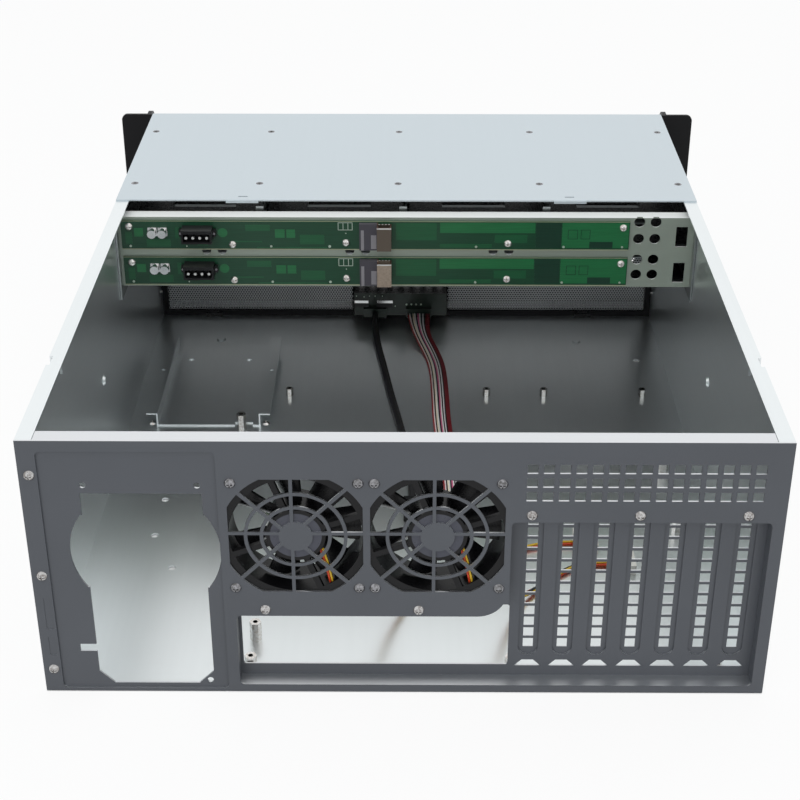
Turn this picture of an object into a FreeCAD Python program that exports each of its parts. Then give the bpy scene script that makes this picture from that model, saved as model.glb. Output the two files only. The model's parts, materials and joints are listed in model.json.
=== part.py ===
"""Empty 4U rackmount server case: folded steel tub, drive cage with eight hot-swap trays, rear fans.

Millimetres. +Z is up, the rear panel faces -Y and the trays pull out towards +Y. The origin is the
centre of the base. In the expressions below Y is counted from the outer face of the rear panel:
every placement takes FROM_REAR off it, which puts the origin half-way along the case.
"""
import FreeCAD
import Part
import Sketcher
import math
import os
import re

SIZES = {
    # tub
    "case_width": 430.0,
    "case_height": 175.0,
    "case_depth": 535.0,
    "sheet": 1.2,
    "side_flange": 9.5,
    "rear_flange": 10.6,
    "rear_tab": 9.5,
    "floor_hole": 2.6,
    "bump_radius": 4.0,
    "bump_rise": 1.2,
    "dimple_rear": 236.0,
    "dimple_high": 83.0,
    "dimple_radius": 4.2,
    "dimple_rise": 1.6,
    "hook_notch_rear": 88.0,
    "hook_notch_length": 11.0,
    "hook_notch_depth": 2.2,
    "hook_notch_drop": 7.0,
    "hook_tab": 5.0,

    # fixed top cover
    "cover_sheet": 1.0,
    "cover_depth": 191.0,
    "cover_hook_x": 121.5,
    "cover_hook_width": 24.0,
    "cover_screw_rear": 33.0,
    "cover_screw_front": 147.0,
    "cover_screw_edge": 9.0,
    # rack ears and handles
    "ear_reach": 26.3,
    "ear_sheet": 2.5,
    "ear_leg": 55.0,
    "ear_corner": 5.0,
    "ear_margin": 6.0,
    "ear_screw_gap": 62.0,
    "ear_screw_set": 8.0,
    "rack_hole_edge": 8.75,
    "rack_hole_height": 6.8,
    "rack_hole_length": 10.3,
    "rack_hole_low": 37.7,
    "rack_hole_gap": 73.0,
    "handle_reach": 40.0,
    "handle_sheet": 3.4,
    "handle_low": 12.0,
    "handle_drop": 7.0,
    "handle_band": 14.0,
    "handle_foot": 12.0,
    "handle_out": 5.2,
    "handle_nose": 12.0,
    "handle_grip_side": 2.0,
    "handle_grip_corner": 6.0,
    "handle_foot_sheet": 2.0,
    # power supply window
    "psu_opening_inset": 10.6,
    "psu_opening_width": 99.4,
    "psu_opening_low": 2.0,
    "psu_opening_drop": 7.0,
    "psu_overlap": 3.0,
    "psu_gap": 0.3,
    "psu_centre": 56.4,
    "psu_hole_gap": 64.0,
    "psu_hole_rise": 138.0,
    "psu_hole_low": 114.0,
    "psu_hole_side": 10.0,
    "psu_hole_radius": 1.9,
    "psu_hole_top": 145.5,
    "psu_window_width": 68.5,
    "psu_window_top": 140.0,
    "psu_window_bottom": 5.2,
    "psu_window_chamfer": 8.8,
    "psu_window_bulge": 43.2,
    "psu_window_bulge_z": 100.5,
    "psu_window_band": 50.0,
    "psu_ear_rise": 5.2,
    "psu_ear_margin": 2.0,
    # fans
    "fan_size": 80.0,
    "fan_thickness": 25.0,
    "fan_hole_gap": 71.5,
    "fan_first": 36.5,
    "fan_pitch": 80.6,
    "fan_centre_z": 112.0,
    "fan_bore": 38.2,
    "fan_wall": 2.0,
    "fan_corner": 4.0,
    "fan_flange": 4.0,
    "fan_waist": 5.0,
    "fan_bearing": 6.0,
    "fan_hub": 16.5,
    "fan_tip": 37.2,
    "fan_shaft": 1.5,
    "shaft_gap": 0.05,
    "fan_hole_radius": 2.2,
    "strut_width": 3.5,
    "strut_depth": 3.0,
    "grille_square": 76.5,
    "grille_round": 43.0,
    "grille_wire": 2.0,
    "grille_outer": 29.5,
    "grille_inner": 20.5,
    "grille_disc": 9.7,
    # rear vents
    "vent_hole": 6.0,
    "vent_pitch": 9.05,
    "vent_first": 2.7,
    # rear recess, I/O window and expansion slots
    "recess_depth": 10.0,
    "recess_inset": 7.1,
    "recess_width": 306.1,
    "recess_low": 5.1,
    "recess_step": 159.0,
    "recess_step_z": 56.1,
    "recess_notch_z": 65.6,
    "recess_arc": 16.9,
    "recess_high": 122.2,
    "recess_corner": 3.0,
    "recess_notch_width": 18.1,
    "lip_gap": 0.3,
    "io_window_inset": 1.6,
    "io_window_width": 158.75,
    "io_window_low": 13.0,
    "io_window_height": 44.45,
    "slot_first": 13.2,
    "slot_pitch": 20.32,
    "slot_width": 12.06,
    "slot_low": 20.5,
    "slot_cover_width": 18.42,
    "slot_cover_sheet": 0.9,
    "slot_cover_low": 18.5,
    "slot_cover_gap": 0.1,
    "slot_tab_gap": 0.4,
    "slot_vent": 6.1,
    "slot_vent_pitch": 7.95,
    "slot_vent_low": 28.8,
    "tongue_width": 15.7,
    "tongue_low": 12.2,
    "tongue_rise": 4.4,
    "rail_reach": 16.0,
    "rail_rise": 9.0,
    # drive cage and backplane
    "cage_depth": 205.0,
    "cage_drop": 66.0,
    "cage_skirt": 5.0,
    "cage_side_reach": 8.0,
    "cage_gap": 0.2,
    "bay_rise": 29.0,
    "divider_lip": 5.0,
    "divider_gap": 4.0,
    "divider_rear": 14.0,
    "divider_tab": 9.0,
    "shelf_window": 16.0,
    "shelf_setback": 8.0,
    "holder_margin": 1.5,
    "holder_flange": 11.0,
    "board_inset_left": 4.6,
    "board_inset_right": 50.2,
    "board_height": 23.0,
    "board_lift": 4.8,
    "board_sheet": 1.6,
    "holder_hole": 4.0,
    "holder_vent": 3.4,
    "holder_vent_rise": 4.7,
    "holder_window_left": 34.5,
    "holder_window_low": 2.3,
    "holder_window_width": 8.5,
    "holder_window_height": 16.0,
    "power_left": 45.6,
    "power_width": 22.4,
    "power_depth": 11.0,
    "power_low": 9.0,
    "power_height": 10.4,
    "power_wall": 1.4,
    "power_lip": 2.0,
    "power_wing": 2.4,
    "power_wing_depth": 4.0,
    "power_wing_low": 3.0,
    "power_wing_height": 5.0,
    "power_pin": 1.0,
    "power_pin_depth": 9.0,
    "power_pin_inset": 3.6,
    "power_pin_pitch": 5.08,
    "power_pin_low": 4.6,
    "can_radius": 3.2,
    "can_height": 5.4,
    "can_foot": 6.8,
    "can_foot_sheet": 1.2,
    "can_low": 14.6,
    "data_left": 189.0,
    "data_width": 10.6,
    "data_depth": 8.0,
    "data_low": 2.2,
    "data_height": 18.6,
    "data_wall": 1.0,
    "data_mouth": 12.0,
    "data_block_width": 13.0,
    "data_block_depth": 3.4,
    "data_block_low": 1.0,
    "data_block_height": 21.0,
    "socket_width": 42.0,
    "socket_shift": -25.0,
    "socket_height": 7.0,
    "socket_depth": 11.0,
    "socket_low": 8.0,
    "socket_slot": 2.2,
    "socket_slot_inset": 4.0,
    "socket_slot_low": 2.4,
    # hot-swap trays
    "tray_clearance": 0.35,
    "tray_length": 186.0,
    "tray_side": 20.0,
    "tray_sheet": 1.4,
    "tray_face": 3.0,
    "window_width": 50.0,
    "tray_window": 30.0,
    "tray_window_first": 18.0,
    "tray_window_pitch": 48.0,
    "tray_vent": 5.0,
    "tray_vent_rise": 2.4,
    "tray_vent_first": 16.0,
    "tray_vent_pitch": 9.0,
    "tray_vent_low": 9.0,
    "tray_vent_high": 6.8,
    "lever_length": 92.0,
    "lever_height": 12.0,
    "lever_sheet": 4.0,
    "lever_gap": 0.6,
    "lever_pin": 1.5,
    "lever_grip": 12.0,
    "lever_grip_rise": 1.5,
    "lever_grip_margin": 2.0,
    "lever_window_inset": 14.0,
    "lever_window_outset": 22.0,
    "lever_window_rise": 6.0,
    "lug_gap": 0.4,
    "lug_width": 8.0,
    "lug_height": 4.0,
    "lug_inset": 1.0,
    "lug_root": 0.5,
    "lug_reach": 1.5,
    # front panel, mesh and front connectors
    "bezel_sheet": 2.0,
    "bezel_slot": 4.0,
    "bezel_slot_pitch": 10.0,
    "bezel_margin": 14.0,
    "bezel_slot_low": 11.0,
    "bezel_slot_drop": 10.0,
    "light_radius": 1.2,
    "light_pitch": 5.0,
    "light_first": 44.0,
    "light_drop": 4.0,
    "mesh_back": 32.0,
    "mesh_border": 5.0,
    "mesh_band": 6.0,
    "clip_rise": 3.2,
    "clip_width": 14.0,
    "clip_depth": 2.5,
    "clip_shoulder": 3.0,
    "tongue_depth": 1.5,
    "clip_inset_left": 39.0,
    "clip_inset_right": 67.0,
    "mesh_sheet": 1.0,
    "mesh_frame_depth": 6.0,
    "mesh_cell": 16.0,
    "mesh_bar": 2.0,
    "io_left": -45.0,
    "io_right": 35.0,
    "io_low": 8.0,
    "io_high": 29.0,
    "io_back": 45.0,
    "io_rise": 6.0,
    "io_foot": 8.0,
    "usb_width": 13.6,
    "usb_height": 6.0,
    "usb_low": 9.0,
    "usb_wall": 0.7,
    "usb_first": 6.0,
    "usb_pitch": 18.0,
    "usb_setback": 0.4,
    "usb_depth": 4.0,
    "usb_root": 1.0,
    "header_depth": 5.0,
    "header_height": 8.0,
    "header_low": 0.5,
    "button_radius": 4.0,
    "button_gap": 0.3,
    "button_travel": 2.0,
    "button_rise": 2.5,
    "button_rim": 1.2,
    "button_z": 10.0,
    # screws and standoffs
    "head_radius": 3.3,
    "head_rise": 2.2,
    "screw_radius": 1.5,
    "screw_length": 5.0,
    "screw_gap": 0.2,
    "standoff_height": 13.8,
    "standoff_flat": 6.4,
    "post_height": 6.5,
    "post_flat": 5.0,
    "board_hole_inset": 5.2,
    "board_hole_rear": 15.0,
    "board_hole_front": 360.0,
    # internal drive bracket
    "bracket_inset": 22.3,
    "bracket_width": 80.4,
    "bracket_rear": 311.0,
    "bracket_length": 130.0,
    "bracket_rise": 11.0,
    "bracket_flange": 7.6,
    "bracket_hole": 2.2,
    "bracket_hole_rear": 106.0,
    "bracket_mid": 70.0,
    "bracket_notch": 14.0,
    "bracket_notch_inset": 20.0,
    "bracket_notch_depth": 5.0,
    # cables
    "usb_radius": 2.7,
    "loom_width": 14.0,
    "loom_height": 1.5,
    "lead_radius": 2.0,
    "fan_plug_width": 20.0,
    "fan_plug_length": 16.0,
    "fan_plug_height": 7.5,
    "fan_plug_pin": 1.5,
    "plug_lift": 0.1,
    # how far a cutting tool stands out of what it cuts
    "overcut": 1.0,
    # places that follow from the sizes above
    "ear_height": "=case_height + cover_sheet",
    "ear_span": "=case_width + 2 * ear_reach",
    "rack_hole_span": "=ear_span - 2 * rack_hole_edge",
    "handle_high": "=case_height - handle_drop",
    "psu_opening_left": "=psu_opening_inset - case_width / 2",
    "psu_opening_right": "=psu_opening_left + psu_opening_width",
    "psu_opening_high": "=case_height - psu_opening_drop",
    "psu_centre_x": "=psu_opening_left + psu_centre",
    "recess_right": "=case_width / 2 - recess_inset",
    "recess_left": "=recess_right - recess_width",
    "recess_step_x": "=recess_left + recess_step",
    "io_window_left": "=recess_left + io_window_inset",
    "slot_first_x": "=recess_step_x + slot_first",
    "fan_first_x": "=recess_left + fan_first",
    "vent_first_x": "=slot_first_x - vent_first",
    "vent_top_z": "=(case_height + recess_high) / 2 + vent_pitch",
    "cage_rear": "=case_depth - cage_depth",
    "cage_low": "=case_height - cage_drop",
    "cage_side_low": "=cage_low - cage_skirt",
    "cage_side_rear": "=cage_rear - cage_side_reach",
    "board_left": "=board_inset_left - case_width / 2",
    "board_right": "=case_width / 2 - board_inset_right",
    "board_low": "=cage_low + board_lift",
    "mesh_plane": "=case_depth - mesh_back",
    "io_board_rear": "=case_depth - io_back",
    "board_hole_x": "=recess_left + board_hole_inset",
    "bracket_left": "=bracket_inset - case_width / 2",
}

FROM_REAR = "(case_depth + handle_reach - head_rise) / 2"
THROUGH = "sheet + 2 * overcut"
DEEP = "3 * sheet"
TAP = "screw_radius + screw_gap"
ALONG_X = (1, 0, 0)
ALONG_Y = (0, 1, 0)
WORD = re.compile(r"[a-z][a-z_]+")

doc = FreeCAD.newDocument("server_case")
sheet = doc.addObject("Spreadsheet::Sheet", "Sizes")
for row, (alias, size) in enumerate(SIZES.items(), start=1):
    sheet.set(f"A{row}", alias)
    sheet.set(f"B{row}", str(size))
    sheet.setAlias(f"B{row}", alias)
doc.recompute()

nodes = {}


# ---------------------------------------------------------------------------------- helpers
def linked(expression):
    """The expression with each size's name led by the sheet's."""
    return WORD.sub(lambda m: "Sizes." + m[0] if m[0] in SIZES else m[0], str(expression))


def number(expression):
    """The value that an expression has now, for shapes made in code."""
    return float(sheet.evalExpression(linked(expression)))


def place(piece, x, y, z):
    """Binds where a piece stands; y is counted from the rear face."""
    piece.setExpression("Placement.Base.x", linked(x))
    piece.setExpression("Placement.Base.y", linked(f"{y} - {FROM_REAR}"))
    piece.setExpression("Placement.Base.z", linked(z))
    return piece


def box(name, low, size):
    piece = doc.addObject("Part::Box", name)
    for side, expression in zip(("Length", "Width", "Height"), size):
        piece.setExpression(side, linked(expression))
    return place(piece, *low)


def turned(axis):
    return FreeCAD.Rotation(FreeCAD.Vector(0, 0, 1), FreeCAD.Vector(*axis))


def about_y(degrees):
    return FreeCAD.Rotation(FreeCAD.Vector(*ALONG_Y), degrees)


def rod(name, base, radius, height, axis=(0, 0, 1)):
    piece = doc.addObject("Part::Cylinder", name)
    piece.setExpression("Radius", linked(radius))
    piece.setExpression("Height", linked(height))
    piece.Placement = FreeCAD.Placement(FreeCAD.Vector(), turned(axis))
    return place(piece, *base)


def cone(name, base, low_radius, high_radius, height, axis=(0, 0, 1)):
    piece = doc.addObject("Part::Cone", name)
    piece.setExpression("Radius1", linked(low_radius))
    piece.setExpression("Radius2", linked(high_radius))
    piece.setExpression("Height", linked(height))
    piece.Placement = FreeCAD.Placement(FreeCAD.Vector(), turned(axis))
    return place(piece, *base)


def fuse(name, pieces):
    if len(pieces) == 1:
        return pieces[0]
    joined = doc.addObject("Part::MultiFuse", name)
    joined.Shapes = pieces
    return joined


def group(name, pieces):
    """Separate solids that stay apart."""
    held = doc.addObject("Part::Compound", name)
    held.Links = pieces
    return held


def cut(name, base, tools, apart=False):
    taken = doc.addObject("Part::Cut", name)
    taken.Base = base
    taken.Tool = tools[0] if len(tools) == 1 else (group if apart else fuse)(name + "_tools", tools)
    return taken


def common(name, first, second):
    shared = doc.addObject("Part::Common", name)
    shared.Base = first
    shared.Tool = second
    return shared


def rounded(name, piece, axis, radius):
    """Rounds the edges of a piece that run along an axis."""
    doc.recompute()
    direction = FreeCAD.Vector(*axis)
    softened = doc.addObject("Part::Fillet", name)
    softened.Base = piece
    edges = []
    for index, edge in enumerate(piece.Shape.Edges, start=1):
        if edge.Curve.TypeId == "Part::GeomLine" and abs(edge.Curve.Direction.dot(direction)) > 0.999:
            edges.append((index, number(radius), number(radius)))
    softened.Edges = edges
    return softened


def plate(name, plane, outline, thickness, at=("0", "0", "0"), reverse=False):
    """A PartDesign body: a padded outline whose corners are bound to the sheet.

    The outline's pairs are X and Z on plane XZ, Y and Z on YZ, X and Y on XY, before at is added.
    """
    body = doc.addObject("PartDesign::Body", name)
    sketch = body.newObject("Sketcher::SketchObject", name + "_outline")
    origin = next(o for o in body.Origin.OriginFeatures if o.Role == plane + "_Plane")
    sketch.AttachmentSupport = [(origin, "")]
    sketch.MapMode = "FlatFace"
    corners = [FreeCAD.Vector(number(a), number(b), 0) for a, b in outline]
    count = len(corners)
    for index in range(count):
        sketch.addGeometry(Part.LineSegment(corners[index], corners[(index + 1) % count]), False)
    for index in range(count):
        sketch.addConstraint(Sketcher.Constraint("Coincident", index, 2, (index + 1) % count, 1))
    for index, (a, b) in enumerate(outline):
        corner = corners[index]
        for kind, expression, value in (("DistanceX", a, corner.x), ("DistanceY", b, corner.y)):
            mark = sketch.addConstraint(Sketcher.Constraint(kind, -1, 1, index, 1, value))
            sketch.setExpression(f"Constraints[{mark}]", linked(expression))
    pad = body.newObject("PartDesign::Pad", name + "_pad")
    pad.Profile = sketch
    pad.Reversed = reverse
    pad.setExpression("Length", linked(thickness))
    body.Tip = pad
    return place(body, *at)


def shaped(name, shape):
    """A shape made in code, as an object of the document."""
    piece = doc.addObject("Part::Feature", name)
    piece.Shape = shape
    return piece


def spot(x, y, z):
    return FreeCAD.Vector(number(x), number(f"{y} - {FROM_REAR}"), number(z))


def scatter(name, pattern, spots, turn=None):
    """Copies of one made solid, one at each spot."""
    doc.recompute()
    solids = []
    for x, y, z in spots:
        solid = pattern.Shape.copy()
        solid.Placement = FreeCAD.Placement(spot(x, y, z), turn or FreeCAD.Rotation())
        solids.append(solid)
    return shaped(name, Part.makeCompound(solids))


def node(name, piece):
    piece.Label = name
    nodes[name] = piece
    return piece


# ---------------------------------------------------------------------------------- repeated places
FAN_X = {"left": "fan_first_x", "right": "fan_first_x + fan_pitch"}
FAN_BLADES = 7
SLOT_COUNT = 7
FAN_HOLES = [
    (f"{x} {side} fan_hole_gap / 2", f"fan_centre_z {rise} fan_hole_gap / 2")
    for x in FAN_X.values()
    for side in "-+"
    for rise in "-+"
]
DOMED = [
    ("slot_first_x - 2", "recess_high + 4.6"),
    ("slot_first_x + 3 * slot_pitch - 2", "recess_high + 4.6"),
    ("slot_first_x + 6 * slot_pitch - 2", "recess_high + 4.6"),
    ("recess_left + 17.2", "recess_step_z + 4.4"),
    ("recess_left + 106.6", "recess_step_z + 4.4"),
]
STRIP = [("6 - case_width / 2", z) for z in ("case_height - 22.6", "case_height - 91.1", "16.1")]
COVER_SCREWS = [
    (f"{share} * (case_width / 2 - cover_screw_edge)", f"case_depth - cover_depth + {y}")
    for y in ("cover_screw_rear", "cover_screw_front")
    for share in (-1, -0.54, -0.03, 0.49, 1)
]
BAYS = [(column, line) for line in (0, 1) for column in (-1.5, -0.5, 0.5, 1.5)]
BAY_PITCH = "((case_width / 2 - 1.5 * sheet - cage_gap) / 2)"
BOARD_SCREWS = [
    ("(board_left + 6)", "18.2"),
    (f"(31.3 - 1.5 * {BAY_PITCH})", "4"),
    (f"(8.9 - 0.5 * {BAY_PITCH})", "5.6"),
    (f"(22.1 + 0.5 * {BAY_PITCH})", "5.2"),
    ("(board_right - 4.8)", "18"),
]
BOARD_LINES = ("board_low", "board_low + bay_rise")
STANDOFFS = [
    (f"board_hole_x + {across}", f"board_hole_rear + {along}")
    for across in (0, 157.48, 281.94)
    for along in (0, 154.94, 227.33)
]
STANDOFFS.append(("board_hole_x", "board_hole_rear + 33.02"))
STANDOFFS.append(("bracket_left + bracket_width - 14", "bracket_rear - 5"))
POSTS = [(f"board_hole_x + {across}", "board_hole_front") for across in (0, 157.48, 203.2, 281.94)]
BRACKET_SIDES = ("bracket_left - bracket_flange / 2", "bracket_left + bracket_width + bracket_flange / 2")
BRACKET_SCREWS = [(x, "bracket_rear + 4") for x in BRACKET_SIDES]
FLOOR_HOLES = [(-127, 418), (-184, 418), (192, 420), (-172, 207), (-173, 162), (-156, 124)]
FLOOR_BUMPS = [(-158, 456), (145, 454)]
EAR_SCREWS = ["ear_height / 2 - ear_screw_gap", "ear_height / 2", "ear_height / 2 + ear_screw_gap"]
EAR_SCREW_Y = "case_depth - ear_leg / 2 - ear_screw_set"
USB_X = ("(io_left + usb_first)", "(io_left + usb_first + usb_pitch)")


# ---------------------------------------------------------------------------------- tub
def base_tub():
    half = "case_width / 2"
    run = "case_depth - sheet"
    parts = [box("floor", (f"-{half}", "sheet", "0"), ("case_width", run, "sheet"))]
    right_tab = f"{half} - recess_right - sheet - psu_gap"
    for name, wall_x, flange_x, tab_x, tab_width in (
        ("left", f"-{half}", f"-{half}", f"-{half}", "rear_tab"),
        ("right", f"{half} - sheet", f"{half} - side_flange", "recess_right + sheet + psu_gap", right_tab),
    ):
        parts.append(box(f"wall_{name}", (wall_x, "sheet", "0"), ("sheet", run, "case_height")))
        parts.append(
            box(f"flange_{name}", (flange_x, "sheet", "case_height - sheet"), ("side_flange", run, "sheet"))
        )
        parts.append(box(f"tab_{name}", (tab_x, "sheet", "0"), (tab_width, "sheet", "case_height")))
    for x, y in FLOOR_BUMPS:
        parts.append(cone("bump", (x, y, "sheet"), "bump_radius", "bump_radius - bump_rise", "bump_rise"))
    for side in (-1, 1):
        dimple = (f"{side} * ({half} - sheet)", "dimple_rear", "dimple_high")
        top = "dimple_radius - dimple_rise"
        parts.append(cone("dimple", dimple, "dimple_radius", top, "dimple_rise", (-side, 0, 0)))
        tab_low = (
            f"{side} * ({half} - side_flange + sheet / 2) - sheet / 2",
            "hook_notch_rear",
            "case_height - sheet - hook_tab",
        )
        parts.append(box("hook_tab_sheet", tab_low, ("sheet", "2 * sheet", "hook_tab + sheet / 2")))
    holes = [rod("floor_hole", (x, y, "-overcut"), "floor_hole", THROUGH) for x, y in FLOOR_HOLES]
    for x, y in BRACKET_SCREWS:
        holes.append(rod("bracket_tap", (x, y, "-overcut"), TAP, THROUGH))
    for x, z in STRIP:
        holes.append(rod("tab_hole", (x, "0", z), TAP, DEEP, ALONG_Y))
    for side in (-1, 1):
        for z in EAR_SCREWS:
            start = (f"{side} * (case_width / 2 - 3)", EAR_SCREW_Y, z)
            holes.append(rod("ear_hole", start, TAP, "6", (side, 0, 0)))
        notch_low = (
            f"{side} * ({half} - (hook_notch_depth - overcut) / 2) - (hook_notch_depth + overcut) / 2",
            "hook_notch_rear",
            "case_height - hook_notch_drop",
        )
        notch_size = ("hook_notch_depth + overcut", "hook_notch_length", "hook_notch_drop + overcut")
        holes.append(box("hook_notch", notch_low, notch_size))
    return node("base_tub", cut("base_tub", fuse("tub_sheet", parts), holes, apart=True))


# ---------------------------------------------------------------------------------- rear panel
def fan_opening(x, tag):
    """The punched grille: a square with round corners, less its rings, spokes and middle disc."""
    middle = (x, "-overcut", "fan_centre_z")
    low = (f"{x} - grille_square / 2", "-overcut", "fan_centre_z - grille_square / 2")
    square = box("square", low, ("grille_square", THROUGH, "grille_square"))
    hole = common("hole_" + tag, square, rod("round", middle, "grille_round", THROUGH, ALONG_Y))
    kept = [rod("disc", middle, "grille_disc", THROUGH, ALONG_Y)]
    for ring in ("grille_outer", "grille_inner"):
        outer = rod("ring_outside", middle, ring, THROUGH, ALONG_Y)
        inner = rod("ring_inside", middle, f"{ring} - grille_wire", THROUGH, ALONG_Y)
        kept.append(cut("ring_" + tag, outer, [inner]))
    for turn in (0, 45, 90, 135):
        angle = math.radians(turn)
        across = f"{math.cos(angle):.6f} * grille_round + {math.sin(angle):.6f} * grille_wire / 2"
        down = f"{math.sin(angle):.6f} * grille_round - {math.cos(angle):.6f} * grille_wire / 2"
        spoke = doc.addObject("Part::Box", "spoke")
        spoke.setExpression("Length", linked("2 * grille_round"))
        spoke.setExpression("Width", linked(THROUGH))
        spoke.setExpression("Height", linked("grille_wire"))
        spoke.Placement = FreeCAD.Placement(FreeCAD.Vector(), about_y(-turn))
        kept.append(place(spoke, f"{x} - ({across})", "-overcut", f"fan_centre_z - ({down})"))
    return cut("grille_" + tag, hole, [fuse("kept_" + tag, kept)])


def recess_opening():
    """The stepped opening round the I/O window and the expansion slots."""
    io_size = ("recess_step_x - recess_left + recess_corner + 2", THROUGH, "recess_step_z - recess_low")
    io_side = box("io_side", ("recess_left", "-overcut", "recess_low"), io_size)
    io_part = rounded("io_part", io_side, ALONG_Y, "recess_corner")
    slot_size = ("recess_right - recess_step_x", THROUGH, "recess_high - recess_low")
    slot_side = box("slot_side", ("recess_step_x", "-overcut", "recess_low"), slot_size)
    slot_part = rounded("slot_part", slot_side, ALONG_Y, "recess_corner")
    foot_size = ("recess_corner + 2", THROUGH, "recess_corner + 1")
    foot = box("foot", ("recess_step_x - 1", "-overcut", "recess_low"), foot_size)
    notch_x = "recess_step_x - recess_notch_width"
    notch_size = ("recess_notch_width", THROUGH, "recess_notch_z - recess_step_z + recess_corner")
    notch = box("notch_block", (notch_x, "-overcut", "recess_step_z - recess_corner"), notch_size)
    curve_start = (notch_x, "-overcut", "recess_step_z + recess_arc")
    curve = rod("notch_curve", curve_start, "recess_arc", THROUGH, ALONG_Y)
    return fuse("recess_opening", [io_part, slot_part, foot, cut("notch", notch, [curve])])


def rear_panel():
    full = box("rear_plate", ("-case_width / 2", "0", "0"), ("case_width", "sheet", "case_height"))
    reach = "case_width - 2 * side_flange - 2 * lip_gap"
    lip_low = ("side_flange + lip_gap - case_width / 2", "0", "case_height - sheet")
    lip = box("rear_lip", lip_low, (reach, "rear_flange", "sheet"))
    rail_low = ("recess_step_x + 1", "sheet", "recess_high")
    rail_width = "recess_right - recess_step_x - 2"
    rail = box("rail_leg", rail_low, (rail_width, "rail_reach - sheet", "sheet"))
    rail_back = box("rail_back", rail_low, (rail_width, "sheet", "rail_rise"))
    psu_size = ("psu_opening_width", THROUGH, "psu_opening_high - psu_opening_low")
    psu = box("psu_block", ("psu_opening_left", "-overcut", "psu_opening_low"), psu_size)
    tools = [rounded("psu_opening", psu, ALONG_Y, "recess_corner"), recess_opening()]
    tools += [fan_opening(x, side) for side, x in FAN_X.items()]
    for x, z in FAN_HOLES:
        tools.append(rod("fan_hole", (x, "-overcut", z), "fan_hole_radius", THROUGH, ALONG_Y))
    for x, z in DOMED + STRIP:
        tools.append(rod("panel_hole", (x, "-overcut", z), TAP, "2 * sheet + 2 * overcut", ALONG_Y))
    for line in range(3):
        for column in range(15):
            low = (
                f"vent_first_x + {column} * vent_pitch - vent_hole / 2",
                "-overcut",
                f"vent_top_z - {line} * vent_pitch - vent_hole / 2",
            )
            tools.append(box("vent", low, ("vent_hole", THROUGH, "vent_hole")))
    for z, rise in (("46", "22"), ("27", "13")):
        tools.append(box("strip_mark", ("5 - case_width / 2", "-overcut", z), ("4", "1.3", rise)))
    folded = fuse("rear_sheet", [full, lip, rail, rail_back])
    return node("rear_panel", cut("rear_panel", folded, tools, apart=True))


def psu_plate():
    low = ("rear_tab + psu_gap - case_width / 2", "sheet", "sheet")
    size = (
        "psu_opening_right + psu_overlap + case_width / 2 - rear_tab - psu_gap",
        "sheet",
        "psu_opening_high + psu_overlap - sheet",
    )
    base = box("psu_sheet", low, size)
    left = "psu_centre_x - psu_window_width / 2"
    right = "psu_centre_x + psu_window_width / 2"
    outline = [
        (f"{left} + psu_window_chamfer", "psu_window_bottom"),
        (f"{right} - psu_window_chamfer", "psu_window_bottom"),
        (right, "psu_window_bottom + psu_window_chamfer"),
        (right, "psu_window_top"),
        (left, "psu_window_top"),
        (left, "psu_window_bottom + psu_window_chamfer"),
    ]
    window = plate("psu_window", "XZ", outline, DEEP, ("0", "0", "0"), reverse=True)
    bulge_start = ("psu_centre_x", "0", "psu_window_bulge_z")
    bulge = rod("psu_bulge", bulge_start, "psu_window_bulge", DEEP, ALONG_Y)
    band_low = (
        "psu_centre_x - psu_window_bulge - overcut",
        "0",
        "psu_window_bulge_z - psu_window_band / 2",
    )
    band = box("psu_band", band_low, ("2 * psu_window_bulge + 2 * overcut", DEEP, "psu_window_band"))
    ear_low = (
        "psu_centre_x - psu_hole_gap / 2 - psu_hole_side - psu_ear_margin",
        "0",
        "psu_hole_top - psu_hole_low - psu_ear_rise / 2",
    )
    ear = box("psu_ear", ear_low, ("psu_hole_side + 2 * psu_ear_margin", DEEP, "psu_ear_rise"))
    tools = [fuse("psu_cut", [window, common("psu_sides", bulge, band), ear])]
    for x, z in (
        ("-psu_hole_gap / 2", "0"),
        ("psu_hole_gap / 2", "0"),
        ("psu_hole_gap / 2", "psu_hole_rise"),
    ):
        spot_low = (f"psu_centre_x {'+' if x[0] != '-' else ''} {x}", "0", f"psu_hole_top - {z}")
        tools.append(rod("psu_hole", spot_low, "psu_hole_radius", DEEP, ALONG_Y))
    return node("psu_plate", cut("psu_plate", base, tools))


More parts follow.
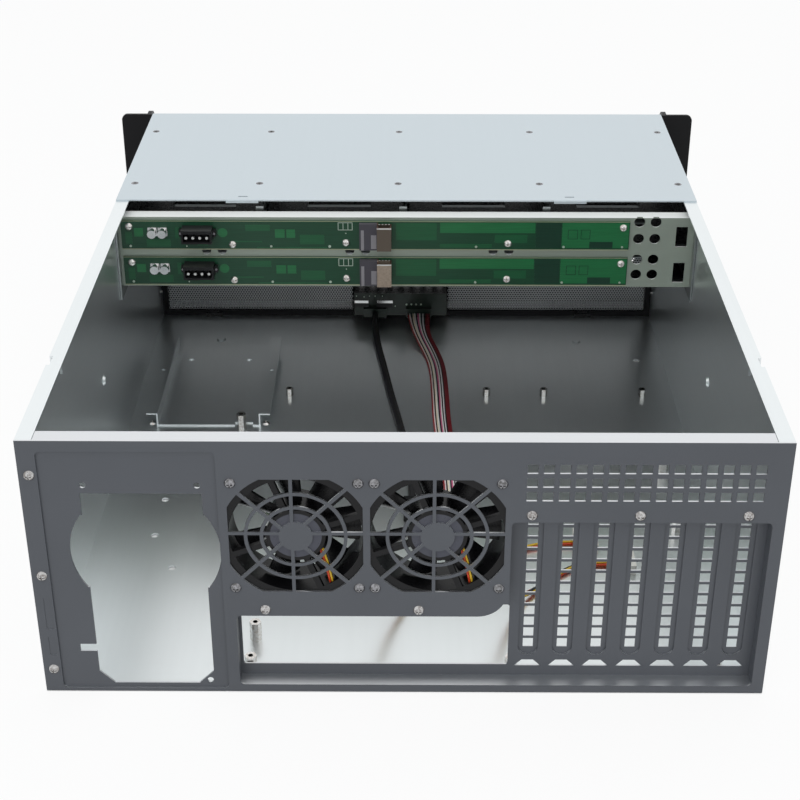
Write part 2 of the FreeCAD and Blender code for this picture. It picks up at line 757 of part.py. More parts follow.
def rear_recess():
    """The pan set into the rear panel, with the I/O window and seven expansion slots."""
    inner = ("recess_left", "sheet", "recess_low")
    width = "recess_right - recess_left"
    through = "recess_depth + 4"
    outer_low = ("recess_left - sheet", "sheet", "recess_low - sheet")
    outer_size = (f"{width} + 2 * sheet", "recess_depth", "recess_high - recess_low")
    outer = box("pan_outside", outer_low, outer_size)
    hollow = box("pan_inside", inner, (width, "recess_depth - sheet", "case_height"))
    shoulder_low = ("recess_left - 3", "0", "io_window_low + io_window_height + 2")
    shoulder_size = ("recess_step_x - recess_left + 3 - sheet", through, "case_height")
    shoulder = box("pan_shoulder", shoulder_low, shoulder_size)
    window_low = ("io_window_left", "0", "io_window_low")
    window = box("io_block", window_low, ("io_window_width", through, "io_window_height"))
    tools = [hollow, shoulder, rounded("io_window", window, ALONG_Y, "1.5")]
    for index in range(SLOT_COUNT):
        x = f"slot_first_x + {index} * slot_pitch"
        slot_low = (f"{x} - slot_width / 2", "0", "slot_low + slot_width / 2")
        tools.append(box("slot", slot_low, ("slot_width", through, "case_height")))
        end = (x, "0", "slot_low + slot_width / 2")
        tools.append(rod("slot_end", end, "slot_width / 2", through, ALONG_Y))
        half = "tongue_width / 2"
        outline = [
            (f"-{half}", "0"),
            (half, "0"),
            (f"{half} - tongue_rise", "tongue_rise"),
            (f"tongue_rise - {half}", "tongue_rise"),
        ]
        foot = (x, "0", "tongue_low")
        tools.append(plate("tongue_slot", "XZ", outline, through, foot, reverse=True))
    pan = cut("pan_shell", outer, tools)
    rim_size = (f"{width} + 2 * sheet", "sheet", "recess_low - 2 * sheet")
    rim = box("pan_rim", ("recess_left - sheet", "sheet", "sheet"), rim_size)
    return node("rear_recess", fuse("rear_recess", [pan, rim]))


def slot_covers():
    """Seven vented covers behind the slots, each with its bent top tab."""
    covers = []
    rear = "recess_depth + sheet"
    for index in range(SLOT_COUNT):
        x = f"slot_first_x + {index} * slot_pitch"
        low = (f"{x} - slot_cover_width / 2", rear, "slot_cover_low")
        rise = "recess_high - slot_cover_low - slot_cover_sheet - slot_cover_gap"
        face = box("cover_face", low, ("slot_cover_width", "slot_cover_sheet", rise))
        tab_low = (
            f"{x} - slot_cover_width / 2",
            "sheet + slot_tab_gap",
            "recess_high - slot_cover_sheet - slot_cover_gap",
        )
        reach = f"{rear} + slot_cover_sheet - sheet - slot_tab_gap"
        tab = box("cover_tab", tab_low, ("slot_cover_width", reach, "slot_cover_sheet"))
        vents = []
        for line in range(12):
            vent_low = (
                f"{x} - slot_vent / 2",
                rear + " - overcut",
                f"slot_vent_low + {line} * slot_vent_pitch - slot_vent / 2",
            )
            vent_size = ("slot_vent", "slot_cover_sheet + 2 * overcut", "slot_vent")
            vents.append(box("slot_vent", vent_low, vent_size))
        covers.append(cut("slot_cover", fuse("slot_cover_sheet_metal", [face, tab]), vents, apart=True))
    return node("slot_covers", group("slot_covers", covers))


# ---------------------------------------------------------------------------------- fans
def fan_frame(side):
    x = FAN_X[side]
    low = (f"{x} - fan_size / 2", "sheet", "fan_centre_z - fan_size / 2")
    fan_box = box("fan_box", low, ("fan_size", "fan_thickness", "fan_size"))
    block = rounded("fan_block", fan_box, ALONG_Y, "fan_corner")
    through = "fan_thickness + 4"
    tools = [rod("fan_bore", (x, "0", "fan_centre_z"), "fan_bore", through, ALONG_Y)]
    waist_rear, waist_depth = "sheet + fan_flange", "fan_thickness - 2 * fan_flange"
    around_low = (f"{x} - fan_size", waist_rear, "fan_centre_z - fan_size")
    around = box("waist_out", around_low, ("2 * fan_size", waist_depth, "2 * fan_size"))
    waist_start = (x, waist_rear, "fan_centre_z")
    inside = rod("waist_in", waist_start, "fan_bore + fan_wall", waist_depth, ALONG_Y)
    kept_low = (f"{x} - fan_size / 2 + fan_waist", waist_rear, "fan_centre_z - fan_size / 2 + fan_waist")
    kept_size = ("fan_size - 2 * fan_waist", waist_depth, "fan_size - 2 * fan_waist")
    tools.append(cut("waist", around, [inside, box("waist_keep", kept_low, kept_size)]))
    for hole_x, hole_z in FAN_HOLES:
        if hole_x.startswith(x + " "):
            tools.append(rod("corner_hole", (hole_x, "0", hole_z), "fan_hole_radius", through, ALONG_Y))
    shell = cut("fan_shell_" + side, block, tools)
    base = (x, "sheet", "fan_centre_z")
    parts = [shell, rod("motor_base", base, "fan_hub + 0.5", "strut_depth", ALONG_Y)]
    for turn in (20, 110, 200, 290):
        strut = doc.addObject("Part::Box", "strut")
        strut.setExpression("Length", linked("fan_bore - fan_hub + 1"))
        strut.setExpression("Width", linked("strut_depth"))
        strut.setExpression("Height", linked("strut_width"))
        strut.Placement = FreeCAD.Placement(FreeCAD.Vector(), about_y(-turn))
        angle = math.radians(turn)
        along = f"{math.cos(angle):.6f} * fan_hub + {math.sin(angle):.6f} * strut_width / 2"
        up = f"{math.sin(angle):.6f} * fan_hub - {math.cos(angle):.6f} * strut_width / 2"
        parts.append(place(strut, f"{x} + {along}", "sheet", f"fan_centre_z + {up}"))
    parts.append(rod("bearing", base, "fan_shaft + 2", "strut_depth + fan_bearing", ALONG_Y))
    bore_start = (x, "sheet + 0.5", "fan_centre_z")
    bore = rod("bearing_bore", bore_start, "fan_shaft + shaft_gap", "fan_thickness", ALONG_Y)
    return node(f"fan_frame_{side}", cut(f"fan_frame_{side}", fuse("fan_parts_" + side, parts), [bore]))


def blade_section(radius, chord, pitch, thickness):
    """A thin slanted section on the plane across the radius, as a closed wire."""
    along = FreeCAD.Vector(0, math.cos(pitch), math.sin(pitch))
    across = FreeCAD.Vector(0, -math.sin(pitch), math.cos(pitch))
    middle = FreeCAD.Vector(radius, 0, 0)
    corners = []
    for step, side in ((-0.5, -0.5), (0.5, -0.5), (0.5, 0.5), (-0.5, 0.5)):
        sag = across * (0.12 * chord)
        corners.append(middle + along * (chord * step) + across * (thickness * side) - sag)
    bend = [middle + across * (thickness * side) for side in (-0.5, 0.5)]
    lower = Part.Arc(corners[0], bend[0], corners[1]).toShape()
    upper = Part.Arc(corners[2], bend[1], corners[3]).toShape()
    ends = [Part.makeLine(corners[1], corners[2]), Part.makeLine(corners[3], corners[0])]
    return Part.Wire([lower, ends[0], upper, ends[1]])


def fan_rotor(side):
    x = FAN_X[side]
    start = "sheet + strut_depth + 0.6"
    length = "fan_thickness - strut_depth - 2"
    cup = rod("hub", (x, start, "fan_centre_z"), "fan_hub", length, ALONG_Y)
    well = rod("hub_well", (x, "sheet", "fan_centre_z"), "fan_shaft + 2.6", "strut_depth + 6.6", ALONG_Y)
    shaft = rod("shaft", (x, "sheet + 1", "fan_centre_z"), "fan_shaft", "fan_thickness - 6", ALONG_Y)
    hub = fuse("hub_" + side, [cut("hub_cup", cup, [well]), shaft])
    blades = []
    hub_radius, tip = number("fan_hub"), number("fan_tip")
    blade_span = ((hub_radius - 1, 15.0, 42), ((hub_radius + tip) / 2, 18.0, 33), (tip, 21.0, 27))
    sections = [blade_section(r, chord, math.radians(90 - pitch), 1.2) for r, chord, pitch in blade_span]
    middle = spot(x, "sheet + fan_thickness / 2 + 1.2", "fan_centre_z")
    for index in range(FAN_BLADES):
        blade = Part.makeLoft(sections, True)
        blade.Placement = FreeCAD.Placement(middle, about_y(index * 360 / FAN_BLADES))
        blades.append(shaped("blade", blade))
    keep = rod("tip_limit", (x, start, "fan_centre_z"), "fan_tip - 0.2", length, ALONG_Y)
    trimmed = [common("blade_trim", blade, keep) for blade in blades]
    return node(f"fan_rotor_{side}", fuse(f"fan_rotor_{side}", [hub] + trimmed))


# ---------------------------------------------------------------------------------- top cover
def top_cover():
    rear = "case_depth - cover_depth"
    skin_size = ("case_width", "cover_depth", "cover_sheet")
    parts = [box("cover_skin", ("-case_width / 2", rear, "case_height"), skin_size)]
    tools = []
    for side in (-1, 1):
        hook_low = (f"{side} * cover_hook_x - cover_hook_width / 2", f"{rear} - 1.2", "case_height - 1")
        parts.append(box("cover_hook", hook_low, ("cover_hook_width", "1.4", "cover_sheet + 0.8")))
        slot_low = (f"{side} * cover_hook_x - 3.5", f"{rear} + 6", "case_height - 1")
        tools.append(box("cover_slot", slot_low, ("7", "1.6", "cover_sheet + 2 * overcut")))
    for x, y in COVER_SCREWS:
        start = (x, y, "case_height")
        tools.append(cone("countersink", start, "screw_radius + 0.1", "screw_radius + 1.3", "cover_sheet"))
    return node("top_cover", cut("top_cover", fuse("cover_folded", parts), tools, apart=True))


# ---------------------------------------------------------------------------------- ears and handles
def rack_ear(name, side):
    """One folded ear: a front flange with rack slots and a leg along the case wall."""
    half = "case_width / 2"
    reach = "ear_span / 2 - case_width / 2"
    flange_x = half if side > 0 else "-ear_span / 2"
    flange = box("ear_flange", (flange_x, "case_depth - ear_sheet", "0"), (reach, "ear_sheet", "ear_height"))
    leg_x = half if side > 0 else f"-{half} - ear_sheet"
    leg_size = ("ear_sheet", "ear_leg", "ear_height - 2 * ear_margin")
    leg = box("ear_leg_sheet", (leg_x, "case_depth - ear_leg", "ear_margin"), leg_size)
    corner_low = (f"{side} * (ear_span / 2 - ear_corner / 2) - ear_corner / 2", "case_depth - 2 * ear_sheet")
    tools = []
    for rise, sign in (("0", 1), ("ear_height", -1)):
        block_z = "0" if sign > 0 else "ear_height - ear_corner"
        block = box("corner_block", (*corner_low, block_z), ("ear_corner", "3 * ear_sheet", "ear_corner"))
        middle = (
            f"{side} * (ear_span / 2 - ear_corner)",
            "case_depth - 3 * ear_sheet",
            f"{rise} + {sign} * ear_corner",
        )
        round_part = rod("corner_round", middle, "ear_corner", "5 * ear_sheet", ALONG_Y)
        tools.append(cut("corner", block, [round_part]))
    x = f"{side} * rack_hole_span / 2"
    straight = "(rack_hole_length - rack_hole_height)"
    rear, through = "case_depth - ear_sheet - overcut", "ear_sheet + 2 * overcut"
    for z in ("rack_hole_low", "rack_hole_low + rack_hole_gap"):
        middle_low = (f"{x} - {straight} / 2", rear, f"{z} - rack_hole_height / 2")
        slot = [box("slot_middle", middle_low, (straight, through, "rack_hole_height"))]
        for end in "-+":
            start = (f"{x} {end} {straight} / 2", rear, z)
            slot.append(rod("slot_round", start, "rack_hole_height / 2", through, ALONG_Y))
        tools.append(fuse("rack_slot", slot))
    for z in EAR_SCREWS:
        start = (f"{side} * (case_width / 2 - 1)", EAR_SCREW_Y, z)
        tools.append(rod("leg_hole", start, TAP, "8", (side, 0, 0)))
    return node(name, cut(name, fuse(name + "_sheet", [flange, leg]), tools, apart=True))


def handle(name, side):
    """A flat plate handle with a finger opening, standing on a foot on the ear's face."""
    x = f"{side} * (case_width / 2 + handle_out)"
    low_x = x if side > 0 else f"{x} - handle_sheet"
    size = ("handle_sheet", "handle_reach", "handle_high - handle_low")
    block = box("handle_plate", (low_x, "case_depth", "handle_low"), size)
    doc.recompute()
    softened = doc.addObject("Part::Fillet", "handle_rounded")
    softened.Base = block
    front = block.Shape.BoundBox.YMax
    corners = []
    for index, edge in enumerate(block.Shape.Edges, start=1):
        bounds = edge.BoundBox
        if bounds.XLength > bounds.YLength + bounds.ZLength and bounds.YMin > front - 0.01:
            corners.append((index, number("handle_nose"), number("handle_nose")))
    softened.Edges = corners
    grip_size = (
        "handle_sheet + 2 * overcut",
        "handle_reach - handle_band + 2",
        "handle_high - handle_low - 2 * handle_band - 2 * handle_grip_side",
    )
    grip_low = (f"{low_x} - overcut", "case_depth - 2", "handle_low + handle_band + handle_grip_side")
    grip_block = box("grip_block", grip_low, grip_size)
    grip = rounded("handle_grip", grip_block, ALONG_X, "handle_grip_corner")
    foot_x = x if side > 0 else f"{x} - handle_foot"
    feet = []
    for z in ("handle_low", "handle_high - handle_band"):
        foot_size = ("handle_foot", "handle_foot_sheet", "handle_band")
        feet.append(box("handle_foot_piece", (foot_x, "case_depth", z), foot_size))
    return node(name, fuse(name, [cut(name + "_plate", softened, [grip])] + feet))


# ---------------------------------------------------------------------------------- drive cage
CAGE_HALF = "(case_width / 2 - sheet - cage_gap)"


def bay_x(column):
    return f"{column} * {BAY_PITCH}"


def socket_x(column):
    """The left end of the drive socket in a bay."""
    return f"{bay_x(column)} + socket_shift - socket_width / 2"


def bay_floor(line):
    """The top face of the sheet that a line of trays slides on."""
    return f"cage_low + sheet + {line} * bay_rise"


def cage_shelf(line, setback):
    """A shelf between the cage's sides, with three windows in each bay."""
    inner = f"({CAGE_HALF} - sheet)"
    length = "(case_depth - cage_rear - sheet)"
    low_z = f"cage_low + {line} * bay_rise"
    low = (f"-{inner}", f"cage_rear + sheet + {setback}", low_z)
    shelf = box("cage_shelf", low, (f"2 * {inner}", f"{length} - {setback}", "sheet"))
    holes = []
    for column in (-1.5, -0.5, 0.5, 1.5):
        for step in (0.25, 0.5, 0.75):
            along = f"cage_rear + {step} * {length} - shelf_window / 2"
            window_low = (f"{bay_x(column)} - window_width / 2", along, f"{low_z} - overcut")
            holes.append(box("shelf_hole", window_low, ("window_width", "shelf_window", THROUGH)))
    for column in (-1, 0, 1):
        if line:
            slit_low = (f"{bay_x(column)} - sheet / 2", "cage_rear + divider_rear", f"{low_z} - overcut")
            holes.append(box("shelf_slit", slit_low, ("sheet", "cage_depth", THROUGH)))
    return cut("shelf", shelf, holes, apart=True)


def drive_cage():
    """Riveted sheets: two shelves, two sides, and three dividers with a tab at the rear of each."""
    sheets = [cage_shelf(0, "shelf_setback"), cage_shelf(1, "0")]
    side_size = ("sheet", "case_depth - cage_side_rear", "case_height - sheet - cage_side_low - cage_gap")
    skirt_size = ("4 * sheet", "mesh_back + 2 * overcut", "cage_skirt + overcut")
    for side in (-1, 1):
        low_x = f"{CAGE_HALF} - sheet" if side > 0 else f"-{CAGE_HALF}"
        wall = box("cage_side", (low_x, "cage_side_rear", "cage_side_low"), side_size)
        front_low = (f"{side} * {CAGE_HALF} - 2 * sheet", "mesh_plane - overcut", "cage_side_low - overcut")
        holes = [box("skirt_end", front_low, skirt_size)]
        for z in EAR_SCREWS:
            start = (f"{side} * (case_width / 2 - 5)", EAR_SCREW_Y, z)
            holes.append(rod("cage_ear_hole", start, "screw_radius + 2 * screw_gap", "6", (side, 0, 0)))
        sheets.append(cut("side", wall, holes, apart=True))
    top = "case_height - divider_gap"
    for column in (-1, 0, 1):
        low = (f"{bay_x(column)} - sheet / 2", "cage_rear + divider_rear", "cage_low + sheet")
        size = ("sheet", "cage_depth - divider_rear", f"{top} - cage_low - sheet")
        sheets.append(box("cage_divider", low, size))
        tab_low = (f"{bay_x(column)} - divider_lip", "cage_rear + divider_rear", f"{top} - divider_tab")
        sheets.append(box("divider_bend", tab_low, ("divider_lip - sheet / 2", "sheet", "divider_tab")))
    return node("drive_cage", group("drive_cage", sheets))


def backplane_holder():
    low = (f"-{CAGE_HALF} + sheet", "cage_rear", "board_low - holder_margin")
    face_rise = "cage_low + 2 * bay_rise + sheet - board_low + holder_margin"
    face_size = (f"2 * ({CAGE_HALF} - sheet)", "sheet", face_rise)
    face = box("holder_face", low, face_size)
    flange_low = (f"-{CAGE_HALF} + sheet", "cage_rear", "cage_low + 2 * bay_rise")
    flange = box("holder_top", flange_low, (f"2 * ({CAGE_HALF} - sheet)", "holder_flange", "sheet"))
    holes = []
    for line in (0, 1):
        for x in (7.1, 19.1):
            for z in (8.7, 21.0 + line):
                start = (f"board_right + {x}", "cage_rear - overcut", f"{BOARD_LINES[line]} + {z}")
                holes.append(rod("holder_round", start, "holder_hole", THROUGH, ALONG_Y))
        window_low = (
            "board_right + holder_window_left",
            "cage_rear - overcut",
            f"{BOARD_LINES[line]} + holder_window_low",
        )
        window_size = ("holder_window_width", THROUGH, "holder_window_height")
        holes.append(box("holder_window", window_low, window_size))
    for column in (-1.5, -0.5, 0.5):
        for x in (11.5, 23.2):
            start = (
                f"{bay_x(column)} + {x}",
                "cage_rear - overcut",
                "board_low + board_height + holder_vent_rise",
            )
            holes.append(rod("holder_vent", start, "holder_vent", THROUGH, ALONG_Y))
    for column, line in BAYS:
        start = (f"{socket_x(column)} - 1", "cage_rear - overcut", f"{bay_floor(line)} + 7")
        window_size = ("socket_width + 2", THROUGH, "socket_height + 2")
        holes.append(box("socket_window", start, window_size))
    for line in BOARD_LINES:
        for x, z in BOARD_SCREWS:
            start = (x, "cage_rear - overcut", f"{line} + {z}")
            holes.append(rod("holder_tap", start, TAP, THROUGH, ALONG_Y))
    return node("backplane_holder", cut("backplane_holder", fuse("holder_sheet", [face, flange]), holes))


def backplane(name, low_z):
    low = ("board_left", "cage_rear - board_sheet", low_z)
    board = box(name + "_blank", low, ("board_right - board_left", "board_sheet", "board_height"))
    holes = []
    for x, z in BOARD_SCREWS:
        start = (x, "cage_rear - board_sheet - overcut", f"{low_z} + {z}")
        holes.append(rod("board_hole", start, TAP, "board_sheet + 2 * overcut", ALONG_Y))
    return node(name, cut(name, board, holes, apart=True))


def power_sockets():
    """Four-pin power headers on the boards' rear faces."""
    sockets = []
    face = "cage_rear - board_sheet"
    left = "board_left + power_left"
    for line in BOARD_LINES:
        low_z = f"{line} + power_low"
        shell_size = ("power_width", "power_depth", "power_height")
        shell = box("power_shell", (left, f"{face} - power_depth", low_z), shell_size)
        wing_low = (f"{left} - power_wing", f"{face} - power_wing_depth", f"{low_z} + power_wing_low")
        wing_size = ("power_width + 2 * power_wing", "power_wing_depth", "power_wing_height")
        body = fuse("power_block", [shell, box("power_wings", wing_low, wing_size)])
        well_low = (f"{left} + power_wall", f"{face} - power_depth - overcut", f"{low_z} + power_wall")
        well_size = (
            "power_width - 2 * power_wall",
            "power_depth - power_lip",
            "power_height - 2 * power_lip",
        )
        parts = [cut("power_body", body, [box("power_well", well_low, well_size)])]
        for index in range(4):
            pin_x = f"{left} + power_pin_inset + {index} * power_pin_pitch"
            pin = (pin_x, f"{face} - power_depth + 1", f"{low_z} + power_pin_low")
            parts.append(rod("power_pin", pin, "power_pin", "power_pin_depth", ALONG_Y))
        sockets.append(fuse("power_socket", parts))
    return node("power_sockets", group("power_sockets", sockets))


def capacitors():
    cans = []
    face = "cage_rear - board_sheet"
    for line in BOARD_LINES:
        for x in (23.4, 30.9):
            base = (f"board_left + {x}", f"{face} - can_height - 1", f"{line} + can_low")
            can = rod("can", base, "can_radius", "can_height", ALONG_Y)
            foot_low = (
                f"board_left + {x} - can_foot / 2",
                f"{face} - can_foot_sheet",
                f"{line} + can_low - can_foot / 2",
            )
            foot = box("can_base", foot_low, ("can_foot", "can_foot_sheet", "can_foot"))
            cans.append(fuse("capacitor", [can, foot]))
    return node("capacitors", group("capacitors", cans))


def data_sockets():
    """Multi-lane data sockets: a low moulded block with a steel shell beside it, open at the top."""
    sockets = []
    face = "cage_rear - board_sheet"
    for line in BOARD_LINES:
        left = "board_left + data_left"
        block_low = (f"{left} - data_block_width", f"{face} - data_block_depth", f"{line} + data_block_low")
        block_size = ("data_block_width + data_wall", "data_block_depth", "data_block_height")
        block = box("data_block", block_low, block_size)
        shell_low = (left, f"{face} - data_depth", f"{line} + data_low")
        shell = box("data_shell", shell_low, ("data_width", "data_depth", "data_height"))
        mouth_low = (
            f"{left} + data_wall",
            f"{face} - data_depth + data_wall",
            f"{line} + data_low + data_height - data_mouth",
        )
        mouth_size = ("data_width - 2 * data_wall", "data_depth - 2 * data_wall", "data_mouth + overcut")
        mouth = box("data_mouth_cut", mouth_low, mouth_size)
        sockets.append(fuse("data_socket", [block, cut("data_cage", shell, [mouth])]))
    return node("data_sockets", group("data_sockets", sockets))


def drive_sockets():
    """The sockets that the drives plug into, one in each bay."""
    sockets = []
    for column, line in BAYS:
        left, low_z = socket_x(column), f"{bay_floor(line)} + socket_low"
        body_size = ("socket_width", "socket_depth", "socket_height")
        body = box("drive_socket_body", (left, "cage_rear", low_z), body_size)
        slot_low = (f"{left} + socket_slot_inset", "cage_rear + 4", f"{low_z} + socket_slot_low")
        slot_size = ("socket_width - 2 * socket_slot_inset", "socket_depth", "socket_slot")
        sockets.append(cut("drive_socket", body, [box("drive_socket_slot", slot_low, slot_size)]))
    return node("drive_sockets", group("drive_sockets", sockets))


# ---------------------------------------------------------------------------------- trays
TRAY_WIDTH = f"({BAY_PITCH} - sheet - 2 * tray_clearance)"
TRAY_HEIGHT = "(bay_rise - sheet - 2 * tray_clearance)"


def tray(index, column, line):
    left = f"{bay_x(column)} - {TRAY_WIDTH} / 2"
    floor_z = f"{bay_floor(line)} + tray_clearance"
    rear = "case_depth - tray_length"
    parts = [box("tray_floor", (left, rear, floor_z), (TRAY_WIDTH, "tray_length", "tray_sheet"))]
    wall_size = ("tray_sheet", "tray_length", "tray_side")
    for side in (0, 1):
        side_x = f"{left} + {side} * ({TRAY_WIDTH} - tray_sheet)"
        parts.append(box("tray_side_wall", (side_x, rear, floor_z), wall_size))
    face_size = (TRAY_WIDTH, "tray_face", TRAY_HEIGHT)
    parts.append(box("tray_face_plate", (left, "case_depth", floor_z), face_size))
    middle_z = f"{floor_z} + {TRAY_HEIGHT} / 2"
    lug_size = ("lug_width", "lever_sheet + lever_gap + lug_root + lug_reach", "lug_height")
    for rise in ("lever_height / 2 + lug_gap", "-lever_height / 2 - lug_gap - lug_height"):
        lug_low = (f"{left} + lug_inset", "case_depth + tray_face - lug_root", f"{middle_z} + {rise}")
        parts.append(box("lug", lug_low, lug_size))
    pin_x = f"{left} + lug_width / 2 + lug_inset"
    pin_y = "case_depth + tray_face + lever_gap + lever_sheet / 2"
    pin_low = (pin_x, pin_y, f"{middle_z} - {TRAY_HEIGHT} / 2")
    tools = [rod("pin_bore", pin_low, "lever_pin + shaft_gap", TRAY_HEIGHT)]
    window_size = ("window_width", "tray_window", "tray_sheet + 2 * overcut")
    for step in range(3):
        window_y = f"{rear} + tray_window_first + {step} * tray_window_pitch"
        window_low = (f"{bay_x(column)} - window_width / 2", window_y, f"{floor_z} - overcut")
        tools.append(box("tray_floor_window", window_low, window_size))
    vent_size = ("tray_vent", "tray_face + 2 * overcut", "tray_vent_rise")
    for slot in range(9):
        vent_x = f"{left} + tray_vent_first + {slot} * tray_vent_pitch"
        for rise in ("- tray_vent_low", "+ tray_vent_high"):
            vent_low = (vent_x, "case_depth - overcut", f"{middle_z} {rise}")
            tools.append(box("tray_face_vent", vent_low, vent_size))
    return node(f"tray_{index}", cut(f"tray_{index}", fuse("tray_sheet_metal", parts), tools, apart=True))


def lever(index, column, line):
    """The latch lever across a tray's face, turning on an upright pin at its left end."""
    left = f"{bay_x(column)} - {TRAY_WIDTH} / 2"
    middle_z = f"{bay_floor(line)} + tray_clearance + {TRAY_HEIGHT} / 2"
    rear = "case_depth + tray_face + lever_gap"
    pin_x = f"{left} + lug_width / 2 + lug_inset"
    pin_y = f"{rear} + lever_sheet / 2"
    low_z = f"{middle_z} - lever_height / 2"
    bar = box("lever_bar", (pin_x, rear, low_z), ("lever_length", "lever_sheet", "lever_height"))
    round_end = rod("lever_end", (pin_x, pin_y, low_z), "lever_sheet / 2", "lever_height")
    pin_low = (pin_x, pin_y, f"{low_z} - lug_gap - lug_height")
    pin = rod("lever_pivot", pin_low, "lever_pin", "lever_height + 2 * lug_gap + 2 * lug_height")
    grip_low = (
        f"{pin_x} + lever_length - lever_grip - lever_grip_margin",
        f"{rear} + lever_sheet - lever_grip_rise",
        f"{low_z} + lever_grip_margin",
    )
    grip_size = ("lever_grip", "2 * lever_grip_rise", "lever_height - 2 * lever_grip_margin")
    grip = box("lever_grip_block", grip_low, grip_size)
    window_low = (
        f"{pin_x} + lever_window_inset",
        f"{rear} - overcut",
        f"{middle_z} - lever_window_rise / 2",
    )
    window_size = (
        "lever_length - lever_window_inset - lever_window_outset",
        "lever_sheet + 2 * overcut",
        "lever_window_rise",
    )
    solid = fuse("lever_solid", [bar, round_end, pin, grip])
    window = box("lever_window", window_low, window_size)
    return node(f"lever_{index}", cut(f"lever_{index}", solid, [window]))


# ---------------------------------------------------------------------------------- front
def front_bezel():
    """The vented front plate below the trays, with cut-outs for the front connectors."""
    half = "(case_width / 2 - sheet)"
    low = (f"-{half}", "case_depth - bezel_sheet", "sheet")
    skin = box("bezel_plate", low, (f"2 * {half}", "bezel_sheet", "cage_low - sheet"))
    deep = ("case_depth - bezel_sheet - overcut", "bezel_sheet + 2 * overcut")
    tools = []
    last = int((number("case_width") / 2 - number("bezel_margin")) // number("bezel_slot_pitch"))
    slot_size = ("bezel_slot", deep[1], "cage_low - io_high - bezel_slot_low - bezel_slot_drop")
    for column in range(-last, last + 1):
        x = f"{column} * bezel_slot_pitch - bezel_slot / 2"
        tools.append(box("bezel_slot_cut", (x, deep[0], "io_high + bezel_slot_low"), slot_size))
    for x in USB_X:
        window_size = ("usb_width", deep[1], "usb_height")
        tools.append(box("usb_window", (x, deep[0], "io_low + usb_low"), window_size))
    for x in BUTTON_X.values():
        start = (x, deep[0], BUTTON_Z)
        tools.append(rod("button_hole", start, "button_radius + button_gap", deep[1], ALONG_Y))
    for index in range(3):
        start = (f"io_left + light_first + {index} * light_pitch", deep[0], "io_high - light_drop")
        tools.append(rod("light_hole", start, "light_radius", deep[1], ALONG_Y))
    return node("front_bezel", cut("front_bezel", skin, tools, apart=True))


BUTTON_X = {"power_button": "io_right - 8", "reset_button": "io_right - 22"}
BUTTON_Z = "(io_low + button_z)"


def button(name):
    """A round push button held in its hole in the front plate, in front of its switch."""
    x = BUTTON_X[name]
    cap_y = "case_depth - bezel_sheet - button_rise"
    cap = rod("cap", (x, cap_y, BUTTON_Z), "button_radius", "bezel_sheet + 2 * button_rise", ALONG_Y)
    rim = rod("rim", (x, cap_y, BUTTON_Z), "button_radius + button_rim", "button_rise - button_gap", ALONG_Y)
    return node(name, fuse(name, [cap, rim]))


def front_io_housing():
    """The black carrier behind the front plate, with two USB sockets and the button switches."""
    front = "(case_depth - bezel_sheet - button_rise - button_travel - button_gap)"
    rear = "io_board_rear + board_sheet"
    low = ("io_left", rear, "io_low + io_rise")
    body = box("io_body", low, ("io_right - io_left", f"{front} - ({rear})", "io_high - io_low - io_rise"))
    foot_size = ("io_right - io_left", "io_foot", "io_low + io_rise - sheet + 0.2")
    parts = [body, box("io_base", ("io_left", f"{front} - io_foot", "sheet"), foot_size)]
    shell_size = ("usb_width", f"case_depth - usb_setback - {front} + usb_root", "usb_height")
    mouth_size = ("usb_width - 2 * usb_wall", "16", "usb_height - 2 * usb_wall")
    tunnels = []
    for x in USB_X:
        parts.append(box("usb_shell", (x, f"{front} - usb_root", "io_low + usb_low"), shell_size))
        mouth_low = (f"{x} + usb_wall", f"{front} - usb_depth", "io_low + usb_low + usb_wall")
        tunnels.append(box("usb_mouth", mouth_low, mouth_size))
    return node("front_io_housing", cut("front_io_housing", fuse("io_solid", parts), tunnels, apart=True))


def front_io_board():
    """The board, with the two headers that the cables leave."""
    low = ("io_left", "io_board_rear", "io_low")
    blocks = [box("io_board_blank", low, ("io_right - io_left", "board_sheet", "io_high - io_low"))]
    for x, width in (("io_left + 8", "20"), ("io_left + 45", "22")):
        header_low = (x, "io_board_rear - header_depth", "io_low + header_low")
        blocks.append(box("header", header_low, (width, "header_depth", "header_height")))
    return node("front_io_board", fuse("front_io_board", blocks))


def mesh_frame():
    half = "(case_width / 2 - sheet)"
    low = (f"-{half}", "mesh_plane", "sheet")
    outer = box("frame_outside", low, (f"2 * {half}", "mesh_frame_depth", "cage_low - sheet"))
    opening_low = (f"-{half} + mesh_border", "mesh_plane - overcut", "mesh_band")
    opening_rise = "cage_low - mesh_band - mesh_border"
    opening_size = (f"2 * ({half} - mesh_border)", "mesh_frame_depth + 2", opening_rise)
    opening = box("frame_opening", opening_low, opening_size)
    room = ("io_left - 1", "mesh_plane - overcut", "sheet - 1")
    notch_size = ("io_right - io_left + 2", "mesh_frame_depth + 2", "io_high - sheet + 2 * overcut")
    notch = box("frame_notch", room, notch_size)
    return node("mesh_frame", cut("mesh_frame", outer, [opening, notch]))


